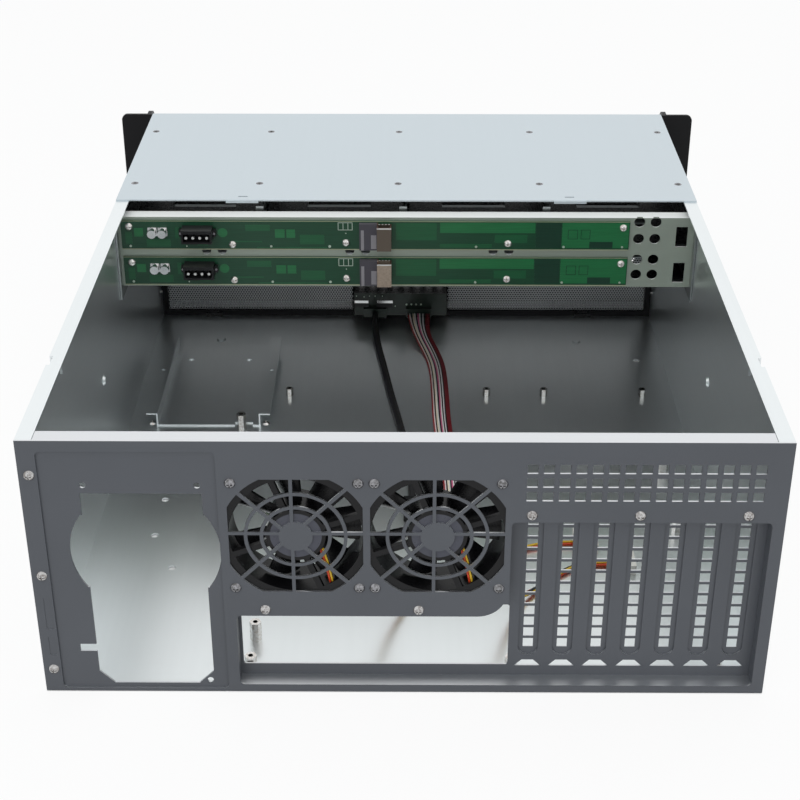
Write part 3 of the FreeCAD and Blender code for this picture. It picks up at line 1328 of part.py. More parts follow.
def intake_mesh():
    """The perforated screen in its frame; the fine holes are a finer grid on the same sheet."""
    half = "(case_width / 2 - sheet - mesh_border)"
    low = (f"-{half}", "mesh_plane + 2", "mesh_band")
    screen = box("mesh_plate", low, (f"2 * {half}", "mesh_sheet", "cage_low - mesh_band - mesh_border"))
    tools = []
    pitch = number("mesh_cell") + number("mesh_bar")
    last = int(number(f"{half} - mesh_cell / 2 - mesh_bar") // pitch)
    lines = int(number("cage_low - mesh_border - mesh_band - mesh_bar") // pitch)
    first = f"(cage_low - mesh_border + mesh_band + mesh_bar - {lines} * (mesh_cell + mesh_bar)) / 2"
    for line in range(lines):
        for column in range(-last, last + 1):
            cell_low = (
                f"{column} * (mesh_cell + mesh_bar) - mesh_cell / 2",
                "mesh_plane",
                f"{first} + {line} * (mesh_cell + mesh_bar)",
            )
            tools.append(box("mesh_hole", cell_low, ("mesh_cell", "5", "mesh_cell")))
    room = ("io_left - 1", "mesh_plane", "mesh_band - 1")
    tools.append(box("mesh_room", room, ("io_right - io_left + 2", "5", "io_high - mesh_band + 2")))
    return node("intake_mesh", cut("intake_mesh", screen, tools))


def mesh_clips():
    clips = []
    for x in ("clip_inset_left - case_width / 2", "case_width / 2 - clip_inset_right"):
        low = (x, "mesh_plane - clip_depth", "sheet")
        foot = box("clip_foot", low, ("clip_width", "clip_depth", "clip_rise"))
        tongue_low = (f"{x} + clip_shoulder", "mesh_plane - tongue_depth", "sheet + clip_rise")
        tongue_size = ("clip_width - 2 * clip_shoulder", "tongue_depth", "mesh_band - sheet - clip_rise")
        tongue = box("clip_tongue", tongue_low, tongue_size)
        clips.append(fuse("clip", [foot, tongue]))
    return node("mesh_clips", group("mesh_clips", clips))


# ---------------------------------------------------------------------------------- floor pieces
def drive_bracket():
    """A folded channel with outward flanges that carries one internal drive."""
    right = "bracket_left + bracket_width"
    base_size = ("bracket_width", "bracket_length", "sheet")
    base = box("bracket_base", ("bracket_left", "bracket_rear", "sheet"), base_size)
    parts = [base]
    for wall_x, flange_x in (
        ("bracket_left", "bracket_left - bracket_flange"),
        (f"{right} - sheet", f"{right} - sheet"),
    ):
        wall_low = (wall_x, "bracket_rear", "sheet")
        parts.append(box("bracket_wall", wall_low, ("sheet", "bracket_length", "bracket_rise")))
        flange_low = (flange_x, "bracket_rear", "bracket_rise")
        parts.append(box("bracket_top", flange_low, ("bracket_flange + sheet", "bracket_length", "sheet")))
    holes = []
    for x in BRACKET_SIDES:
        start = (x, "bracket_rear + bracket_mid", "bracket_rise - overcut")
        holes.append(rod("bracket_hole", start, TAP, THROUGH))
    notch_low = (f"{right} - bracket_notch_inset", "bracket_rear - overcut", "0")
    holes.append(box("bracket_end", notch_low, ("bracket_notch", "bracket_notch_depth", "2 * sheet + 1")))
    for x in (14, 62):
        start = (f"bracket_left + {x}", "bracket_rear + bracket_hole_rear", "0")
        holes.append(rod("bracket_floor_hole", start, "bracket_hole", DEEP))
    return node("drive_bracket", cut("drive_bracket", fuse("bracket_sheet", parts), holes, apart=True))


def hexagon(flat, height):
    radius = flat / math.sqrt(3)
    corners = [
        FreeCAD.Vector(radius * math.cos(math.radians(60 * k)), radius * math.sin(math.radians(60 * k)), 0)
        for k in range(6)
    ]
    face = Part.Face(Part.makePolygon(corners + corners[:1]))
    return face.extrude(FreeCAD.Vector(0, 0, height))


def standoffs():
    """Hexagonal posts that a motherboard is screwed to."""
    kinds = []
    for name, spots in (("standoff", STANDOFFS), ("post", POSTS)):
        height = number(f"{name}_height")
        post = hexagon(number(f"{name}_flat"), height)
        pattern = shaped(f"{name}_pattern", post.cut(Part.makeCylinder(number("screw_radius"), height)))
        kinds.append(scatter(f"{name}_copies", pattern, [(x, y, "sheet") for x, y in spots]))
    return node("standoffs", group("standoffs", kinds))


# ---------------------------------------------------------------------------------- screws
def cross_recess(top, depth=1.1):
    """The cross that a driver turns, as a tool that opens upwards."""
    arms = []
    for turn in (0, 90):
        arm = Part.makeBox(3.4, 0.7, depth, FreeCAD.Vector(-1.7, -0.35, top - depth))
        arm.rotate(FreeCAD.Vector(), FreeCAD.Vector(0, 0, 1), turn)
        arms.append(arm)
    return arms[0].fuse(arms[1])


def pan_screw(name, radius, rise, shank, length):
    """A pan-head screw on +Z, its head's underside at the origin."""
    dome = radius * radius / (2 * rise) + rise / 2
    ball = Part.makeSphere(dome, FreeCAD.Vector(0, 0, rise - dome))
    head = ball.common(Part.makeCylinder(radius, rise))
    stem = Part.makeCylinder(shank, length, FreeCAD.Vector(), FreeCAD.Vector(0, 0, -1))
    return shaped(name, head.fuse(stem).cut(cross_recess(rise)).removeSplitter())


TO_REAR = FreeCAD.Rotation(FreeCAD.Vector(0, 0, 1), FreeCAD.Vector(0, -1, 0))


def screws():
    head = number("head_radius")
    rise = number("head_rise")
    shank = number("screw_radius")
    length = number("screw_length")
    long_screw = pan_screw("fan_screw_pattern", head, rise, shank + 0.3, length + 3)
    spots = [(x, "0", z) for x, z in FAN_HOLES]
    node("fan_screws", scatter("fan_screws", long_screw, spots, TO_REAR))
    short = pan_screw("panel_screw_pattern", head, rise, shank, length)
    panel = scatter("rear_face_screws", short, [(x, "0", z) for x, z in STRIP + DOMED], TO_REAR)
    sides = []
    for side in (-1, 1):
        turn = FreeCAD.Rotation(FreeCAD.Vector(0, 0, 1), FreeCAD.Vector(side, 0, 0))
        x = f"{side} * (case_width / 2 + ear_sheet)"
        leg = [(x, EAR_SCREW_Y, z) for z in EAR_SCREWS]
        sides.append(scatter("ear_leg_screws", short, leg, turn))
    node("panel_screws", group("panel_screws", [panel] + sides))
    small = pan_screw("board_screw_pattern", 3.0, 2.0, shank, 3.4)
    spots = []
    for line in BOARD_LINES:
        for x, z in BOARD_SCREWS:
            spots.append((x, "cage_rear - board_sheet", f"{line} + {z}"))
    boards = scatter("board_screw_copies", small, spots, TO_REAR)
    floor_screw = pan_screw("floor_screw_pattern", 3.0, 2.0, shank, number("sheet"))
    upright = scatter("floor_screw_copies", floor_screw, [(x, y, "sheet") for x, y in BRACKET_SCREWS])
    node("small_screws", group("small_screws", [boards, upright]))
    flat_head = Part.makeCone(shank, shank + 1.2, number("cover_sheet"))
    flat_head = flat_head.cut(cross_recess(number("cover_sheet"), 0.5))
    pattern = shaped("cover_screw_pattern", flat_head)
    node("cover_screws", scatter("cover_screws", pattern, [(x, y, "case_height") for x, y in COVER_SCREWS]))


# ---------------------------------------------------------------------------------- cables
def cord_path(route):
    """Straight runs joined by tangent arcs, each as large as its two runs allow."""
    points = [spot(*point) for point in route]
    edges = []
    radii = []
    start = points[0]
    for before, corner, after in zip(points, points[1:], points[2:]):
        back = (before - corner).normalize()
        ahead = (after - corner).normalize()
        turn = math.pi - back.getAngle(ahead)
        reach = 0.45 * min((before - corner).Length, (after - corner).Length)
        radius = reach / math.tan(turn / 2)
        radii.append(radius)
        first = corner + back * reach
        last = corner + ahead * reach
        middle_way = (back + ahead).normalize()
        middle = corner + middle_way * (radius / math.cos(turn / 2) - radius)
        edges.append(Part.LineSegment(start, first).toShape())
        edges.append(Part.Arc(first, middle, last).toShape())
        start = last
    edges.append(Part.LineSegment(start, points[-1]).toShape())
    return Part.Wire(edges), radii


def cord(name, route, section, area):
    path, radii = cord_path(route)
    tube = path.makePipeShell([section], True, False) if area is None else flat_sweep(path, section)
    swept = tube.Volume / path.Length
    print(f"{name}: length {path.Length:.1f} mm, section {swept:.3f} mm2")
    print(f"{name}: smallest radius {min(radii):.1f} mm")
    return node(name, shaped(name, tube))


def flat_sweep(path, section):
    """Sweeps a flat section that stays level along the path."""
    sweep = Part.BRepOffsetAPI.MakePipeShell(path)
    sweep.setBiNormalMode(FreeCAD.Vector(0, 0, 1))
    sweep.add(section)
    sweep.build()
    sweep.makeSolid()
    return sweep.shape()


def round_section(route, radius):
    start, second = spot(*route[0]), spot(*route[1])
    return Part.Wire(Part.makeCircle(radius, start, second - start))


USB_Z = "sheet + usb_radius + plug_lift"
LOOM_Z = "sheet + loom_height / 2 + plug_lift"
LEAD_Z = "sheet + lead_radius + plug_lift"
USB_ROUTE = [
    (-27, "io_board_rear - 5", 12),
    (-27, "io_board_rear - 17", 12),
    (-26, "io_board_rear - 31", 8),
    (-23.6, "io_board_rear - 49", USB_Z),
    (-18, "io_board_rear - 87", USB_Z),
    (-12.2, "io_board_rear - 130", USB_Z),
    (-4, "io_board_rear - 182", USB_Z),
    (2, "io_board_rear - 226", USB_Z),
    (5, "io_board_rear - 262", USB_Z),
    (5, "io_board_rear - 288", USB_Z),
]
LOOM_ROUTE = [
    (11, "io_board_rear - 5", 12),
    (11, "io_board_rear - 20", 12),
    (14, "io_board_rear - 38", 7.4),
    (21.5, "io_board_rear - 58", LOOM_Z),
    (26, "io_board_rear - 84", LOOM_Z),
    (27.4, "io_board_rear - 124", LOOM_Z),
    (28, "io_board_rear - 172", LOOM_Z),
    (31, "io_board_rear - 216", LOOM_Z),
    (35, "io_board_rear - 254", LOOM_Z),
    (35, "io_board_rear - 282", LOOM_Z),
]
LEAD_START = {"left": "fan_first_x + 33", "right": "fan_first_x + fan_pitch + 33"}
LEAD_ROUTES = {
    "left": [
        (LEAD_START["left"], "sheet + fan_thickness", 78),
        (LEAD_START["left"], "sheet + fan_thickness + 12", 78),
        (f"{LEAD_START['left']} + 3", "sheet + fan_thickness + 24", 65),
        (f"{LEAD_START['left']} + 9", "sheet + fan_thickness + 34", 44),
        (f"{LEAD_START['left']} + 19", "sheet + fan_thickness + 50", 20),
        (f"{LEAD_START['left']} + 34", "sheet + fan_thickness + 68", 6),
        (f"{LEAD_START['left']} + 53", "sheet + fan_thickness + 83", LEAD_Z),
        (f"{LEAD_START['left']} + 76", "sheet + fan_thickness + 97", LEAD_Z),
        (f"{LEAD_START['left']} + 100", "sheet + fan_thickness + 114", LEAD_Z),
        (f"{LEAD_START['left']} + 122", "sheet + fan_thickness + 125", LEAD_Z),
        (f"{LEAD_START['left']} + 144", "sheet + fan_thickness + 125", LEAD_Z),
    ],
    "right": [
        (LEAD_START["right"], "sheet + fan_thickness", 78),
        (LEAD_START["right"], "sheet + fan_thickness + 12", 78),
        (f"{LEAD_START['right']} + 2", "sheet + fan_thickness + 24", 65),
        (f"{LEAD_START['right']} + 6", "sheet + fan_thickness + 33", 42),
        (f"{LEAD_START['right']} + 13", "sheet + fan_thickness + 46", 19),
        (f"{LEAD_START['right']} + 23", "sheet + fan_thickness + 60", 6),
        (f"{LEAD_START['right']} + 37", "sheet + fan_thickness + 75", LEAD_Z),
        (f"{LEAD_START['right']} + 52", "sheet + fan_thickness + 91", LEAD_Z),
        (f"{LEAD_START['right']} + 67", "sheet + fan_thickness + 101", LEAD_Z),
        (f"{LEAD_START['right']} + 86", "sheet + fan_thickness + 101", LEAD_Z),
    ],
}


def cables():
    cord("usb_cable", USB_ROUTE, round_section(USB_ROUTE, number("usb_radius")), None)
    start = spot(*LOOM_ROUTE[0])
    half, thick = number("loom_width") / 2, number("loom_height") / 2
    corners = [(-half, -thick), (half, -thick), (half, thick), (-half, thick), (-half, -thick)]
    section = Part.makePolygon([start + FreeCAD.Vector(x, 0, z) for x, z in corners])
    cord("panel_loom", LOOM_ROUTE, section, "flat")
    for side, route in LEAD_ROUTES.items():
        cord(f"fan_lead_{side}", route, round_section(route, number("lead_radius")), None)


def plugs():
    """The connectors on the cables' free ends."""
    x, y, z = USB_ROUTE[-1]
    node("usb_plug", box("usb_plug", (f"{x} - 6", f"{y} - 22", "sheet + plug_lift"), ("12", "22", "7")))
    x, y, z = LOOM_ROUTE[-1]
    node("loom_plug", box("loom_plug", (f"{x} - 12.5", f"{y} - 16", "sheet + plug_lift"), ("25", "16", "4")))
    for side, route in LEAD_ROUTES.items():
        x, y, z = route[-1]
        low = (x, f"{y} - fan_plug_width / 2", "sheet + plug_lift")
        body = box("plug_body", low, ("fan_plug_length", "fan_plug_width", "fan_plug_height"))
        grip_low = (f"{x} + 3", f"{y} - fan_plug_width / 2 - 1", "sheet + plug_lift + 1")
        grips = box("plug_grip", grip_low, ("5", "fan_plug_width + 2", "fan_plug_height - 2"))
        sockets = []
        for index in range(4):
            pin = (f"{x} + 6", f"{y} + {5 * index - 7.5}", "sheet + plug_lift + 3.7")
            sockets.append(rod("plug_socket", pin, "fan_plug_pin", "12", ALONG_X))
        solid = fuse("plug_solid", [body, grips])
        node(f"fan_plug_{side}", cut(f"fan_plug_{side}", solid, sockets, apart=True))


# ---------------------------------------------------------------------------------- build
def build():
    base_tub()
    rear_panel()
    psu_plate()
    rear_recess()
    slot_covers()
    for side in FAN_X:
        fan_frame(side)
        fan_rotor(side)
    top_cover()
    rack_ear("rack_ear_left", -1)
    rack_ear("rack_ear_right", 1)
    handle("handle_left", -1)
    handle("handle_right", 1)
    drive_cage()
    backplane_holder()
    backplane("backplane_lower", BOARD_LINES[0])
    backplane("backplane_upper", BOARD_LINES[1])
    power_sockets()
    capacitors()
    data_sockets()
    drive_sockets()
    for index, (column, line) in enumerate(BAYS, start=1):
        tray(index, column, line)
        lever(index, column, line)
    front_bezel()
    button("power_button")
    button("reset_button")
    front_io_housing()
    front_io_board()
    mesh_frame()
    intake_mesh()
    mesh_clips()
    drive_bracket()
    standoffs()
    screws()
    cables()
    plugs()


def check_and_write():
    doc.recompute()
    for piece in doc.Objects:
        if "Invalid" in piece.State or "Error" in piece.State:
            raise RuntimeError(f"{piece.Label} ({piece.Name}) did not build: {piece.State}")
    for name, piece in nodes.items():
        shape = piece.Shape
        if shape.isNull() or not shape.isValid() or not shape.Solids:
            raise RuntimeError(f"{name} has no valid solid")
    os.makedirs("parts", exist_ok=True)
    for name, piece in nodes.items():
        piece.Shape.exportStep(f"parts/{name}.step")
        print(f"{name}: {len(piece.Shape.Solids)} solid(s), {piece.Shape.Volume / 1000:.2f} cm3")
    print(len(nodes), "nodes")


build()
check_and_write()
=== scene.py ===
import json
import math
import random

import bpy
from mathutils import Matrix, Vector

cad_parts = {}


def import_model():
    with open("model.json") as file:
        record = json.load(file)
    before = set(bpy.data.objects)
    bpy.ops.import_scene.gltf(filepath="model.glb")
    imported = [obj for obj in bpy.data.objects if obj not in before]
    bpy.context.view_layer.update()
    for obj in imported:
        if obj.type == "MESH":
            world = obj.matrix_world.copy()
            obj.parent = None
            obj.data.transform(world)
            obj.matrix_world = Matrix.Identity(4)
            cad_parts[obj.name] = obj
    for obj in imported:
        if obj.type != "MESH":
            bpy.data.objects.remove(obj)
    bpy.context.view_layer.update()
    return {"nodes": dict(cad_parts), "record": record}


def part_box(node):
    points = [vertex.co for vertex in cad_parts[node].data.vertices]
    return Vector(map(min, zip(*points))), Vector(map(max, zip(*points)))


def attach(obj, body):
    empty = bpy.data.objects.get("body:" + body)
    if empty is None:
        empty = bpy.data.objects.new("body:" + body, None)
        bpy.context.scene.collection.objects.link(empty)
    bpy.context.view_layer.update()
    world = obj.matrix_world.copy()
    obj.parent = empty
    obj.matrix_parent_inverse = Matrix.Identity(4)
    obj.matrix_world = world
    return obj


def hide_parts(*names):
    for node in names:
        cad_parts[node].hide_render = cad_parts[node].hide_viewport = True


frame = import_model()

MM = 0.001
CASE = "case"
NODES = frame["nodes"]
RECORD = frame["record"]
rng = random.Random(11)

REAR_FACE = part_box("rear_panel")[0].y
CASE_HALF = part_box("base_tub")[1].x
CASE_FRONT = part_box("base_tub")[1].y


def at(x, y, z):
    """A point from millimetres across, millimetres in from the rear face, and millimetres up."""
    return Vector((x * MM, REAR_FACE + y * MM, z * MM))


# ------------------------------------------------------------------------------------ node helpers
class Shader:
    """Builds one procedural material: every call adds a node and returns its output."""

    def __init__(self, name):
        self.material = bpy.data.materials.new(name)
        self.material.use_nodes = True
        self.tree = self.material.node_tree
        self.bsdf = self.tree.nodes["Principled BSDF"]
        self.place = self.tree.nodes.new("ShaderNodeTexCoord").outputs["Object"]

    def node(self, kind, **settings):
        made = self.tree.nodes.new("ShaderNode" + kind)
        for key, value in settings.items():
            setattr(made, key, value)
        return made

    def link(self, source, target):
        self.tree.links.new(source, target)

    def fill(self, socket, value):
        if isinstance(value, bpy.types.NodeSocket):
            self.link(value, socket)
        else:
            socket.default_value = value

    def stretched(self, scale):
        mapping = self.node("Mapping")
        mapping.inputs["Scale"].default_value = scale
        self.link(self.place, mapping.inputs["Vector"])
        return mapping.outputs["Vector"]

    def noise(self, scale, detail=3.0, rough=0.55, vector=None):
        made = self.node("TexNoise")
        made.inputs["Scale"].default_value = scale
        made.inputs["Detail"].default_value = detail
        made.inputs["Roughness"].default_value = rough
        self.link(vector or self.place, made.inputs["Vector"])
        return made.outputs["Fac"]

    def ramp(self, value, low, high, start=0.0, end=1.0):
        """Goes from low to high while the value goes from start to end, and stays there beyond."""
        made = self.node("MapRange", clamp=True)
        for socket, number in zip(("From Min", "From Max", "To Min", "To Max"), (start, end, low, high)):
            made.inputs[socket].default_value = number
        self.link(value, made.inputs["Value"])
        return made.outputs["Result"]

    def maths(self, operation, first, second=0.0):
        made = self.node("Math", operation=operation)
        self.fill(made.inputs[0], first)
        self.fill(made.inputs[1], second)
        return made.outputs[0]

    def mix(self, factor, first, second):
        made = self.node("Mix", data_type="RGBA")
        self.fill(made.inputs["Factor"], factor)
        self.fill(made.inputs[6], first)
        self.fill(made.inputs[7], second)
        return made.outputs[2]

    def axis(self, index):
        """Where the surface is along an axis of the object."""
        made = self.node("SeparateXYZ")
        self.link(self.place, made.inputs[0])
        return made.outputs[index]

    def facing(self, index):
        """How far the surface faces along an axis of the object, from -1 to 1."""
        made = self.node("SeparateXYZ")
        self.link(self.node("NewGeometry").outputs["True Normal"], made.inputs[0])
        return made.outputs[index]

    def bump(self, height, strength, distance):
        made = self.node("Bump")
        made.inputs["Strength"].default_value = strength
        made.inputs["Distance"].default_value = distance
        self.link(height, made.inputs["Height"])
        self.link(made.outputs["Normal"], self.bsdf.inputs["Normal"])

    def finish(self, color, roughness, metallic=0.0, specular=0.5):
        """Sets the shader's sockets; a metallic of None leaves one that is already linked."""
        self.fill(self.bsdf.inputs["Base Color"], color)
        self.fill(self.bsdf.inputs["Roughness"], roughness)
        if metallic is not None:
            self.bsdf.inputs["Metallic"].default_value = metallic
        self.bsdf.inputs["Specular IOR Level"].default_value = specular
        return self.material


# ------------------------------------------------------------------------------------ materials
BLACK = (0.006, 0.006, 0.007)
MOTOR_FACE = (0.075, 0.078, 0.098)
LABEL_RADIUS = 14.8 * MM
SHELL_WIDTH = 10.6 * MM


def shade(color, factor):
    return (color[0] * factor, color[1] * factor, color[2] * factor, 1.0)


def sheet_metal(name, color, roughness, metallic=1.0, contrast=0.05):
    """Zinc-coated steel: a very faint spangle and softly uneven gloss along the rolling direction."""
    s = Shader(name)
    rolled = s.noise(1.0, 2.0, 0.5, s.stretched((220.0, 5.0, 220.0)))
    cloud = s.noise(7.0, 3.0)
    tone = s.maths("ADD", s.ramp(rolled, -0.4, 0.4), s.ramp(cloud, -0.8, 0.8))
    body = s.mix(s.ramp(tone, 0.0, 1.0, -1.0, 1.0), shade(color, 1 - contrast), shade(color, 1 + contrast))
    return s.finish(body, s.ramp(cloud, roughness - 0.03, roughness + 0.03), metallic)


def dark_sheet(name, color, lit_top_tone, roughness):
    """Dark satin steel whose dark colour is painted shade, with a painted highlight: upward folds and the
    upward faces of cut edges get a pale tone for the light falling on them.
    """
    s = Shader(name)
    # Painted highlight: faces that point up are mixed towards the pale lit-top tone.
    up = s.ramp(s.facing(2), 0.0, 1.0, 0.35, 0.85)
    cloud = s.noise(9.0, 3.0)
    fine = s.noise(1200.0, 2.0)
    body = s.mix(s.ramp(cloud, 0.0, 1.0, 0.3, 0.7), shade(color, 0.94), shade(color, 1.06))
    s.bump(fine, 0.10, 0.00003)
    s.link(up, s.bsdf.inputs["Metallic"])
    return s.finish(s.mix(up, body, shade(lit_top_tone, 1.0)), roughness, None, 0.45)


def holder_sheet(name, side, top, roughness):
    """Zinc-coated steel with a yellow-green tint, and a painted highlight: faces that point up are drawn in
    a pale tone for the light falling on them.
    """
    s = Shader(name)
    # Painted highlight: the pale top tone on faces that point up.
    up = s.ramp(s.facing(2), 0.0, 1.0, 0.6, 0.95)
    cloud = s.noise(9.0, 3.0)
    rolled = s.noise(1.0, 2.0, 0.5, s.stretched((5.0, 220.0, 220.0)))
    tone = s.maths("ADD", s.ramp(rolled, -0.4, 0.4), s.ramp(cloud, -0.8, 0.8))
    body = s.mix(s.ramp(tone, 0.0, 1.0, -1.0, 1.0), shade(side, 0.94), shade(side, 1.06))
    s.link(s.ramp(s.facing(2), 0.45, 0.0, 0.6, 0.95), s.bsdf.inputs["Metallic"])
    return s.finish(s.mix(up, body, shade(top, 1.0)), roughness, None)


def fan_plastic(name, node, face):
    """Black moulded plastic, with a grey label face on the motor in the middle of the fan."""
    low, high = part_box(node)
    s = Shader(name)
    across = s.maths("SUBTRACT", s.axis(0), (low.x + high.x) / 2)
    up = s.maths("SUBTRACT", s.axis(2), (low.z + high.z) / 2)
    reach = s.maths("SQRT", s.maths("ADD", s.maths("POWER", across, 2.0), s.maths("POWER", up, 2.0)))
    hub = s.maths("LESS_THAN", reach, LABEL_RADIUS)
    rear = s.ramp(s.facing(1), 1.0, 0.0, -0.9, -0.5)
    fine = s.noise(500.0, 2.0, 0.6)
    s.bump(fine, 0.3, 0.00003)
    body = s.mix(s.maths("MULTIPLY", hub, rear), shade(BLACK, 1.0), shade(face, 1.0))
    return s.finish(body, s.ramp(fine, 0.24, 0.34), 0.0, 0.25)


def socket_finish(name, block, shell, mouth):
    """A dark moulded block and a warm tinned shell, with painted shade that draws the shell on the upper
    board about a third as bright, and a dark mouth on top.
    """
    s = Shader(name)
    low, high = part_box("data_sockets")
    steel = s.maths("GREATER_THAN", s.axis(0), high.x - SHELL_WIDTH)
    fine = s.noise(500.0, 2.0)
    body = s.mix(s.ramp(fine, 0.0, 1.0, 0.3, 0.7), shade(shell, 0.85), shade(shell, 1.1))
    # Painted shade: the shell on the upper board is drawn about a third as bright as on the lower one.
    upper = s.maths("GREATER_THAN", s.axis(2), (low.z + high.z) / 2)
    body = s.mix(upper, body, shade(shell, 0.34))
    body = s.mix(s.ramp(s.facing(2), 0.0, 1.0, 0.6, 0.8), body, shade(mouth, 1.0))
    s.link(s.maths("MULTIPLY", steel, 0.55), s.bsdf.inputs["Metallic"])
    s.bump(fine, 0.2, 0.00003)
    return s.finish(s.mix(steel, shade(block, 1.0), body), 0.34, None)


def coated(name, color, roughness, grain=700.0, depth=0.00006, metallic=0.0, specular=0.4):
    """Paint, powder coat or moulded plastic: a fine pebbled grain and a slightly uneven tone."""
    s = Shader(name)
    fine = s.noise(grain, 2.0, 0.6)
    cloud = s.noise(14.0, 3.0)
    body = s.mix(s.ramp(cloud, 0.0, 1.0, 0.3, 0.7), shade(color, 0.88), shade(color, 1.12))
    s.bump(fine, 0.35, depth)
    return s.finish(body, s.ramp(fine, roughness - 0.06, roughness + 0.06), metallic, specular)


def screw_metal(name, color, core):
    """Plated screws: the metal's colour mixed at random by fine noise with a second core tone."""
    s = Shader(name)
    fine = s.noise(600.0, 2.0)
    body = s.mix(s.ramp(fine, 0.0, 1.0, 0.35, 0.65), shade(core, 1.0), shade(color, 1.0))
    s.bump(fine, 0.15, 0.00004)
    return s.finish(body, s.ramp(fine, 0.12, 0.24), 1.0)


def solder_mask(name, color, contrast=0.10):
    """Glossy solder mask: thin straight tracks just show through it."""
    s = Shader(name)
    tracks = s.noise(1.0, 1.0, 0.4, s.stretched((45.0, 45.0, 1100.0)))
    cloud = s.noise(26.0, 2.0)
    line = s.ramp(tracks, -1.0, 1.0, 0.42, 0.58)
    tone = s.maths("ADD", s.maths("MULTIPLY", line, 0.6), s.ramp(cloud, -0.4, 0.4))
    body = s.mix(s.ramp(tone, 0.0, 1.0, -1.0, 1.0), shade(color, 1 - contrast), shade(color, 1 + contrast))
    s.bump(tracks, 0.12, 0.00004)
    return s.finish(body, 0.30, 0.0, 0.5)


GALVANISED = sheet_metal("galvanised", (0.84, 0.88, 0.89), 0.29, 0.92)
# Painted shade: the drive cage is the same zinc-coated sheet drawn darker for the shade inside the case.
SHADED_CAGE_SHEET = sheet_metal("cage_sheet_painted_shade", (0.36, 0.385, 0.39), 0.30, 0.9)
# The backplane holder: its pale top colour is a painted highlight on upward faces.
HOLDER_SHEET = holder_sheet("holder_sheet", (0.37, 0.42, 0.36), (0.90, 0.92, 0.90), 0.36)
# The slate sheet: its dark colour is painted shade and its pale tone on upward faces is a painted
# highlight.
DARK_SHEET = dark_sheet("dark_sheet", (0.085, 0.092, 0.106), (0.76, 0.78, 0.80), 0.42)
PALE_SHEET = sheet_metal("pale_sheet", (0.60, 0.67, 0.71), 0.36, 0.6, 0.02)
BLACK_COAT = coated("black_coat", BLACK, 0.42, specular=0.16)
BLACK_PLASTIC = coated("black_plastic", BLACK, 0.28, 500.0, 0.00003, specular=0.22)
SOCKET_PLASTIC = coated("socket_plastic", (0.012, 0.012, 0.013), 0.30, 900.0, specular=0.3)
WHITE_PLASTIC = coated("white_plastic", (0.72, 0.71, 0.66), 0.35, 500.0)
BOARD = solder_mask("board", (0.0050, 0.056, 0.024))
POUR = solder_mask("board_pour", (0.007, 0.095, 0.034))
POUR_LIGHT = solder_mask("board_pour_light", (0.012, 0.150, 0.048))
POUR_DARK = solder_mask("board_pour_dark", (0.004, 0.038, 0.020))
DARK_BOARD = solder_mask("small_board", (0.004, 0.014, 0.008))
SILK = coated("silk_white", (0.50, 0.58, 0.50), 0.5, 900.0)
SOLDER = coated("solder", (0.52, 0.62, 0.52), 0.3, 900.0, 0.00003, 0.4)
BOARD_EDGE = coated("board_edge", (0.38, 0.40, 0.27), 0.6, 900.0)
CONTACT_METAL = coated("contact_metal", (0.30, 0.29, 0.31), 0.4, 900.0, 0.00003, 0.3)
PIN_METAL = coated("pin_metal", (0.72, 0.72, 0.70), 0.3, 900.0, 0.00003, 0.3)
SCREW = screw_metal("screw_metal", (0.80, 0.80, 0.79), (0.56, 0.52, 0.48))
DARK_SCREW = screw_metal("dark_screw", (0.34, 0.34, 0.36), (0.12, 0.12, 0.12))
PANEL_SCREW = screw_metal("panel_screw", (0.58, 0.58, 0.58), (0.26, 0.24, 0.23))
SHINY = sheet_metal("tin_plate", (0.80, 0.80, 0.80), 0.20)
DATA_SOCKET = socket_finish("data_socket", (0.065, 0.060, 0.075), (0.42, 0.34, 0.27), (0.10, 0.042, 0.030))
SCREEN_METAL = coated("screen_metal", (0.36, 0.365, 0.37), 0.40, 900.0, 0.00003, 0.5)

FINISH = {
    "galvanised": GALVANISED,
    "pale_sheet": PALE_SHEET,
    "slate_sheet": DARK_SHEET,
    "black_metal": BLACK_COAT,
    "black_plastic": BLACK_PLASTIC,
    "board_green": BOARD,
    "black_socket": SOCKET_PLASTIC,
    "can_metal": SHINY,
    "screw_steel": SCREW,
    "mesh_steel": SCREEN_METAL,
    "white_plastic": WHITE_PLASTIC,
}
# Nodes that look unlike the rest of their material slot.
SPECIAL = {
    "backplane_holder": HOLDER_SHEET,
    "data_sockets": DATA_SOCKET,
    "front_io_board": DARK_BOARD,
    "fan_frame_left": fan_plastic("fan_left", "fan_frame_left", MOTOR_FACE),
    "fan_frame_right": fan_plastic("fan_right", "fan_frame_right", MOTOR_FACE),
    "fan_screws": DARK_SCREW,
    "panel_screws": PANEL_SCREW,
    # The drive cage gets its painted-shade copy of the galvanised sheet.
    "drive_cage": SHADED_CAGE_SHEET,
    "cover_screws": DARK_SCREW,
}


def dress_nodes():
    """Gives every CAD node the finish of its material slot, or one of its own."""
    for entry in RECORD["subparts"]:
        finish = FINISH.get(entry["material_slot"])
        if finish is None:
            continue
        mesh = NODES[entry["node"]].data
        mesh.materials.clear()
        mesh.materials.append(SPECIAL.get(entry["node"], finish))


# ------------------------------------------------------------------------------------ mesh helpers
def mesh_piece(name, vertices, faces, materials, body=CASE, picks=None, smooth=False):
    """Makes one piece that rides a body; picks holds each face's material."""
    mesh = bpy.data.meshes.new(name)
    mesh.from_pydata([tuple(v) for v in vertices], [], faces)
    for one in materials:
        mesh.materials.append(one)
    if picks:
        mesh.polygons.foreach_set("material_index", picks)
    if smooth:
        mesh.polygons.foreach_set("use_smooth", [True] * len(faces))
    mesh.update()
    piece = bpy.data.objects.new(name, mesh)
    bpy.context.scene.collection.objects.link(piece)
    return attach(piece, body)


